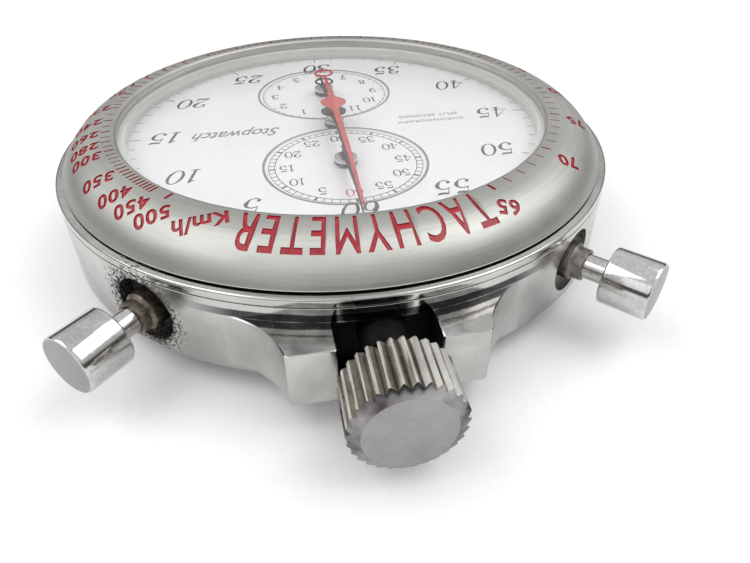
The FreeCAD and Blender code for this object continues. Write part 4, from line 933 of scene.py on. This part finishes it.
def hand(name, material, slot, body, stations, level, thick, centre=(0, 0), bend=None,
         stands_for=(), ring=None, hub=()):
    """A flat hand with a low ridge: stations are (y, half width), bend lowers a point by its y."""
    drop = bend or (lambda y: 0.0)
    points, polygons = [], []
    rows = len(stations)
    for y, half in stations:
        z = level - drop(y)
        for x, height in ((-half, 0.0), (-half, thick * 0.55), (0, thick), (half, thick * 0.55),
                          (half, 0.0)):
            points.append((centre[0] + x, centre[1] + y, z + height))
    for row in range(rows - 1):
        for side in range(5):
            a, b = row * 5 + side, row * 5 + (side + 1) % 5
            polygons.append((a, b, b + 5, a + 5))
    polygons.append(tuple(range(4, -1, -1)))
    polygons.append(tuple(range((rows - 1) * 5, rows * 5)))
    if ring is not None:
        ring_y, outer, inner = ring
        z = level - drop(ring_y)
        section = [(inner, z), (outer, z), (outer, z + thick * 0.55),
                   ((inner + outer) / 2, z + thick), (inner, z + thick * 0.55)]
        loop, loop_faces = lathe_data(section, 48)
        add_part(points, polygons, loop, loop_faces, (centre[0], centre[1] + ring_y))
    for section in hub:
        part, part_faces = lathe_data(section, 64)
        add_part(points, polygons, part, part_faces, centre)
    return make(name, points, polygons, (material,), body, slot, stands_for=stands_for, crease=22)


def needle_stations(tip, tail, hub, root=0.36, end=0.07, fillet=0.75, back=0.2):
    """Half widths along a hand whose round hub flows into the needle and the tail."""
    stations = []
    for step in range(-60, 141):
        y = step / 60 * tail if step < 0 else step / 140 * tip
        share = y / tip if y >= 0 else -y / tail
        needle = root + (end - root) * share if y >= 0 else root * 0.8 + (back - root * 0.8) * share
        disc = math.sqrt(max(hub * hub - y * y, 0))
        spread = needle + fillet * math.exp(-max(abs(y) - hub * 0.6, 0) / 0.55) * (abs(y) < 4)
        stations.append((y, max(disc, min(spread, hub))))
    return stations


NEEDLE_LENGTH, DROOP_START, DROOP_DEPTH = 21.4, 0.55, 1.2


def droop(y):
    """How far a long hand has bent down towards the dial at y."""
    start = NEEDLE_LENGTH * DROOP_START
    return max(0.0, (y - start) / (NEEDLE_LENGTH + 1 - start) * DROOP_DEPTH)


def build_hands():
    tail_ring = (-9.6, 1.18, 0.92)
    sweep, split = DIAL_TOP + 1.65, DIAL_TOP + 2.75
    stations = needle_stations(NEEDLE_LENGTH, 8.5, 1.45)
    pipe = profile((0.24, split - 0.6), (0.55, split - 0.6), (0.55, split + 0.02),
                   (0.24, split + 0.02))
    broad = needle_stations(NEEDLE_LENGTH, 8.5, 1.45, 0.36, 0.13)
    hand("split_needle", "red", "red_lacquer", "split", broad, split, 0.18, bend=droop,
         ring=tail_ring, hub=(pipe,), stands_for=("split_seconds_hand",))
    base = profile((0.5, 12.6), (1.15, 12.6), (1.15, 12.95), (1.15, 13.25, ("soft", 0.12)),
                   (0.75, 13.3), (0.75, sweep + 0.02), (0.5, sweep + 0.02))
    hand("sweep_needle", "blued", "blued_steel", "chronograph", stations, sweep, 0.18, bend=droop,
         ring=tail_ring, stands_for=("chronograph_seconds_hand",))
    # the hub's side below z 12.95 takes blued steel: painted shade for the dark lower rim under the
    # silver top
    lathe("sweep_hub", base, ("polished", "blued"), "chronograph", "tool_steel", 72,
          pick=lambda p: int(p.z < 12.95))
    for name, centre, length, body, node in (
            ("minute", MINUTE_DIAL, 6.0, "minute_counter", "minute_counter_hand"),
            ("hour", HOUR_DIAL, 5.4, "hour_counter", "hour_counter_hand")):
        level = DIAL_TOP + 0.62
        stations = needle_stations(length, 2.6, 0.6, 0.22, 0.05, 0.2, 0.14)
        hand(name + "_needle", "blued", "blued_steel", body, stations, level, 0.18, centre,
             stands_for=(node,))
        hub = profile((0.3, 12.55), (1.22, 12.55), (1.22, 12.85), (1.22, level + 0.12, ("soft", 0.12)),
                      (0.3, level + 0.12))
        # the hub's side below z 12.85 takes blued steel: painted shade for the dark lower rim under the
        # silver top
        lathe(name + "_hub", hub, ("polished", "blued"), body, "tool_steel", 72,
              Matrix.Translation((*centre, 0)), pick=lambda p: int(p.z < 12.85))


build_hands()


# ------------------------------------------------------------------ crystal, flange and back
lathe("domed_crystal", profile(
    (23.3, 14.05), (23.95, 14.05), (23.95, 14.75, ("soft", 0.1)),
    (0.0, 17.2, ("arc", (23.95 ** 2 + 2.45 ** 2) / 4.9)), (0.0, 16.2),
    (23.3, 14.05, ("arc", -(23.3 ** 2 + 2.15 ** 2) / 4.3))), ("glass",), "case", "crystal", 256,
    stands_for=("crystal",)).visible_shadow = False
lathe("inner_flange", profile((23.55, 12.5), (25.5, 12.5), (25.5, 14.0), (23.25, 14.0)),
      ("flange",), "case", "flange", 256, stands_for=("flange_ring",))
lathe("brushed_back", profile(
    (0.0, 0.0), (20.0, 0.0), (27.5, 1.1, ("arc", 40)), (27.5, 2.0), (26.7, 2.0),
    (20.0, 0.8, ("arc", -60)), (0.0, 0.8)), ("back",), "case", "case_steel", 256,
    stands_for=("case_back",))


# ------------------------------------------------------------------ case, crown and pushers
AXIS_HEIGHT = 6.55
GUARD_GAP, GUARD_LOW, GUARD_HIGH = 4.36, 3.2, 8.85
PUSHER_ANGLE = 41.5
CASE_RADIUS, RIM_HEIGHT = 31.0, 11.25


def carved(item, tools, operation):
    """Applies a boolean with each tool mesh and removes the tools."""
    for tool in tools:
        carve = item.modifiers.new("carve", "BOOLEAN")
        carve.operation = operation
        carve.solver = "EXACT"
        carve.object = tool
    bpy.context.view_layer.update()
    evaluated = item.evaluated_get(bpy.context.evaluated_depsgraph_get())
    mesh = bpy.data.meshes.new_from_object(evaluated)
    item.modifiers.clear()
    item.data = mesh
    for tool in tools:
        bpy.data.objects.remove(tool)


def tool_mesh(points, faces):
    mesh = bpy.data.meshes.new("tool")
    mesh.from_pydata([Vector(p) * MM for p in points], [], faces)
    item = bpy.data.objects.new("tool", mesh)
    bpy.context.scene.collection.objects.link(item)
    return item


def prism(outline, low, high, edge=0.0):
    """An upright prism over an anticlockwise plan, its top edge bevelled."""
    rings = [(0.0, low), (0.0, high - edge), (edge, high)] if edge else [(0.0, low), (0.0, high)]
    count = len(outline)
    points = []
    for inset, z in rings:
        points.extend((x, y, z) for x, y in shrunk(outline, inset))
    faces = [tuple(range(count - 1, -1, -1)), tuple(range(len(points) - count, len(points)))]
    for row in range(len(rings) - 1):
        for i in range(count):
            after = (i + 1) % count
            first = row * count
            faces.append((first + i, first + after, first + count + after, first + count + i))
    return points, faces


def shrunk(outline, inset):
    """The plan moved in by the inset along its corner bisectors."""
    if not inset:
        return outline
    moved = []
    count = len(outline)
    for i in range(count):
        here = Vector(outline[i])
        back = (here - Vector(outline[i - 1])).normalized()
        ahead = (Vector(outline[(i + 1) % count]) - here).normalized()
        normal = Vector((-back.y - ahead.y, back.x + ahead.x))
        lean = max(normal.length_squared / 2, 0.3)
        moved.append(tuple(here + normal / lean * inset))
    return moved


def guard_plan(side):
    """One crown guard's plan, swept out of the case by a hollow arc and round at its outer end."""
    foot, tip = (13.33, 28.0), (8.53, 34.03)
    sweep = arc_points(foot, (tip[0] + 0.02, tip[1] - 0.35), -9.0, 20)
    corner = [(tip[0] - 0.03, tip[1] - 0.16), (tip[0] - 0.16, tip[1] - 0.03)]
    plan = [(GUARD_GAP, 28.6), (13.33, 26.9), foot, *sweep, *corner, (tip[0] - 0.35, tip[1]),
            (GUARD_GAP + 0.12, 34.03), (GUARD_GAP, 33.91)]
    if side < 0:
        plan = [(-x, y) for x, y in plan][::-1]
    return plan


def build_case():
    band, groove = RIM_HEIGHT - 0.8, CASE_RADIUS - 0.15
    outline = profile(
        (27.6, 1.0), (28.4, 1.0, ("soft", 0.1)), (CASE_RADIUS, 2.6, ("arc", 3.2)),
        (CASE_RADIUS, band - 0.15, ("soft", 0.05)), (groove, band - 0.13), (groove, band - 0.02),
        (CASE_RADIUS, band, ("soft", 0.05)), (CASE_RADIUS, RIM_HEIGHT, ("soft", 0.28)),
        (28.7, RIM_HEIGHT, ("soft", 0.1)), (28.7, 10.6), (27.5, 10.6), (27.5, 11.9),
        (26.9, 11.9), (26.9, 2.5), (27.6, 2.5),
    )
    points, faces = lathe_data(outline, 360)
    item = make("polished_case", points, faces, ("case", "gap_shade"), "case", "case_steel",
                stands_for=("case_middle",))
    guards = [tool_mesh(*prism(guard_plan(side), GUARD_LOW, GUARD_HIGH, 0.1)) for side in (1, -1)]
    carved(item, guards, "UNION")
    recess = [(-GUARD_GAP, 29.4), (GUARD_GAP, 29.4), (GUARD_GAP, 32.0), (-GUARD_GAP, 32.0)]
    cuts = [tool_mesh(*prism(recess, GUARD_LOW, GUARD_HIGH))]
    cuts.append(radial_rod(2.2, 24.9, 34.0, 0))
    for angle in (-PUSHER_ANGLE, PUSHER_ANGLE):
        cuts.append(radial_rod(1.9, 24.9, 34.0, angle))
        cuts.append(radial_rod(3.3, 29.3, 34.0, angle))
    carved(item, cuts, "DIFFERENCE")
    edge = item.modifiers.new("edges", "BEVEL")
    edge.width = 0.07 * MM
    edge.segments = 2
    edge.limit_method = "ANGLE"
    edge.angle_limit = math.radians(40)
    bpy.context.view_layer.update()
    evaluated = item.evaluated_get(bpy.context.evaluated_depsgraph_get())
    mesh = bpy.data.meshes.new_from_object(evaluated)
    item.modifiers.clear()
    item.data = mesh
    mesh.shade_smooth()
    mesh.set_sharp_from_angle(angle=math.radians(35))
    # faces in the recess between the guards take the second, near-black material: painted shade where
    # the recess lies in shadow
    for face in mesh.polygons:
        x, y, z = face.center / MM
        in_gap = abs(x) < GUARD_GAP + 0.02 and 29.3 < y < 34.0 and z < 8.82
        face.material_index = int(in_gap)


def radial_rod(radius, start, end, angle):
    points, faces = lathe_data([(0.0, start), (radius, start), (radius, end), (0.0, end)], 96,
                               outward(angle, AXIS_HEIGHT), closed=False)
    return tool_mesh(points, faces)


def build_crown():
    start, length, outer, root, face = 35.7, 5.6, 4.78, 4.36, 3.69
    flutes, land = 30, 0.07
    columns = []
    for flute in range(flutes):
        for share in (land, 0.5 * land + 0.14, 0.28, 0.4, 0.5, 0.6, 0.72, 0.86 - 0.5 * land,
                      1 - land, 1.0):
            depth = max(0.0, 1 - abs(share - 0.5) / (0.5 - land)) if share <= 1 - land else 0.0
            columns.append(((flute + share) / flutes * 2 * math.pi, outer - (outer - root) * depth))
    points, faces = [], []
    rows = 9
    for angle, radius in columns:
        lift = (outer - radius) / (outer - face) * 0.6
        edge = start + length - 0.6 + lift
        line = [(2.5, start + 3.2), (2.5, start), (radius - 0.35, start), (radius - 0.1, start + 0.1),
                (radius, start + 0.35), (radius, edge), (face + 0.03, start + length - 0.012),
                (face - 0.04, start + length), (0.0, start + length)]
        for r, z in line:
            points.append((r * math.cos(angle), r * math.sin(angle), z))
    count = len(columns)
    for column in range(count):
        after = (column + 1) % count
        for row in range(rows - 1):
            faces.append((column * rows + row, after * rows + row, after * rows + row + 1,
                          column * rows + row + 1))
    ceiling = [c * rows for c in range(count)][::-1]
    faces.append(tuple(ceiling))
    turn = outward(0, AXIS_HEIGHT)
    points = [tuple(turn @ Vector(p)) for p in points]
    # row 5 is the chamfer, whose material carries a painted dark reflection; rows 6 and 7 are the end
    # face
    shown = {5: 2, 6: 1, 7: 1}
    indices = []
    for column in range(count):
        # the middle columns of each flute, from the valley partway up one face of the V, take the dark
        # valley material: painted shade
        side = 3 if column % 10 in (3, 4, 5, 6) else 0
        indices.extend(shown.get(row, side) for row in range(rows - 1))
    indices.append(0)
    make("fluted_crown", points, faces, ("flutes", "satin_face", "chamfer", "valley_shade"), "crown",
         "case_steel", indices, crease=20, stands_for=("crown",))


def build_pushers():
    cap = profile((0.0, 24.9), (0.95, 24.9), (1.25, 25.2), (1.25, 34.77), (2.87, 34.77, ("soft", 0.25)),
                  (2.87, 39.37, ("soft", 0.3)), (0.0, 39.37))
    tube = profile((1.3, 26.3), (1.9, 26.3), (1.9, 31.3, ("soft", 0.08)), (1.6, 31.6),
                   (1.6, 32.5, ("soft", 0.08)), (1.3, 32.5))
    for name, angle, worn in (("start", PUSHER_ANGLE, "corroded"), ("split", -PUSHER_ANGLE, "dull")):
        turn = outward(angle, AXIS_HEIGHT)
        lathe(name + "_button", cap, ("polished", "satin_face"), name + "_pusher", "case_steel", 96,
              turn, (name + "_pusher",), pick=lambda p: int(p.z > 39.36))
        lathe(name + "_sleeve", tube, (worn,), "case", "case_steel", 96, turn,
              (name + "_pusher_tube",))
    neck = profile((0.75, 25.9), (2.2, 25.9), (2.2, 37.5, ("soft", 0.1)), (0.75, 37.5))
    # the crown sleeve takes the near-black gap material: painted shade behind the crown
    lathe("crown_sleeve", neck, ("gap_shade",), "case", "case_steel", 96, outward(0, AXIS_HEIGHT),
          ("crown_tube",))


build_case()
build_crown()
build_pushers()


# ------------------------------------------------------------------ carried-over pieces
FINISHES = {
    "gilt": ("main_plate", "barrel_bridge", "train_bridge", "balance_cock", "pallet_bridge"),
    "brass": ("second_wheel", "third_wheel", "fourth_wheel", "chronograph_wheel", "split_wheel",
              "minute_transfer_wheel", "minute_counter_wheel", "hour_counter_wheel",
              "mainspring_barrel", "balance_wheel"),
    "ruby": ("jewels",),
    "ring": ("movement_ring",),
    "blued": ("bridge_screws", "plate_screws", "lever_screws", "click_screw", "hairspring"),
}
finish_of = {node: finish for finish, group in FINISHES.items() for node in group}
for node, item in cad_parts.items():
    if item.hide_render:
        continue
    item.data.materials.clear()
    item.data.materials.append(MATERIALS[finish_of.get(node, "tool")])


# ------------------------------------------------------------------ studio
def studio():
    scene = bpy.context.scene
    paper = bpy.data.meshes.new("studio_floor")
    reach, drop = 1.5, 2e-5
    corners = [(x * reach, y * reach, -drop) for x, y in ((-1, -1), (1, -1), (1, 1), (-1, 1))]
    paper.from_pydata(corners, [], [(0, 1, 2, 3)])
    paper.materials.append(floor_paper())
    ground = bpy.data.objects.new("studio_floor", paper)
    scene.collection.objects.link(ground)
    world = bpy.data.worlds.new("studio_air")
    world.use_nodes = True
    scene.world = world
    tree = world.node_tree
    backdrop = tree.nodes["Background"]
    direction = tree.nodes.new("ShaderNodeTexCoord")
    split = tree.nodes.new("ShaderNodeSeparateXYZ")
    band = tree.nodes.new("ShaderNodeValToRGB")
    tree.links.new(direction.outputs["Generated"], split.inputs[0])
    lift = tree.nodes.new("ShaderNodeMapRange")
    lift.inputs["From Min"].default_value = -1.0
    tree.links.new(split.outputs["Z"], lift.inputs["Value"])
    tree.links.new(lift.outputs["Result"], band.inputs["Fac"])
    stops = ((0.5, 0.9), (0.53, 0.12), (0.61, 0.1), (0.67, 0.7), (0.8, 1.0), (1.0, 1.0))
    stairs = band.color_ramp.elements
    while len(stairs) < len(stops):
        stairs.new(0.5)
    for element, (position, level) in zip(stairs, stops):
        element.position = position
        element.color = (level, level, level, 1)
    tree.links.new(band.outputs["Color"], backdrop.inputs["Color"])
    backdrop.inputs["Strength"].default_value = 0.85
    lamps = (("left", (-0.24, 0.06, 0.34), 0.3, 0.62), ("right", (0.26, 0.0, 0.32), 0.3, 0.5),
             ("fill", (0.22, 0.28, 0.24), 0.24, 0.1))
    for name, spot, size, power in lamps:
        lamp = bpy.data.lights.new(name, "AREA")
        lamp.size = size
        lamp.energy = power
        holder = bpy.data.objects.new(name, lamp)
        holder.location = spot
        holder.rotation_euler = (-Vector(spot)).to_track_quat("-Z", "Y").to_euler()
        scene.collection.objects.link(holder)
    lens = bpy.data.cameras.new("camera")
    lens.sensor_width = 36.0
    lens.lens = 30.22
    lens.clip_start = 0.005
    lens.clip_end = 5.0
    camera = bpy.data.objects.new("camera", lens)
    azimuth, elevation, distance = 0.1084, 0.4144, 73.379
    roll, tilt, swing = 0.0351, 0.2460, 0.0542
    unit = 1.044 * MM
    back = Vector((math.sin(azimuth) * math.cos(elevation),
                   math.cos(azimuth) * math.cos(elevation), math.sin(elevation)))
    right = (-back).cross(Vector((0, 0, 1))).normalized()
    upward = right.cross(-back)
    level = Matrix((right, upward, back))
    turned = (Matrix.Rotation(roll, 3, "Z") @ Matrix.Rotation(tilt, 3, "X")
              @ Matrix.Rotation(swing, 3, "Y") @ level)
    camera.matrix_world = (Matrix.Translation(back * distance * unit + Vector((0, 0, 0.0125)))
                           @ turned.transposed().to_4x4())
    scene.collection.objects.link(camera)
    scene.camera = camera
    scene.view_settings.view_transform = "Standard"


studio()
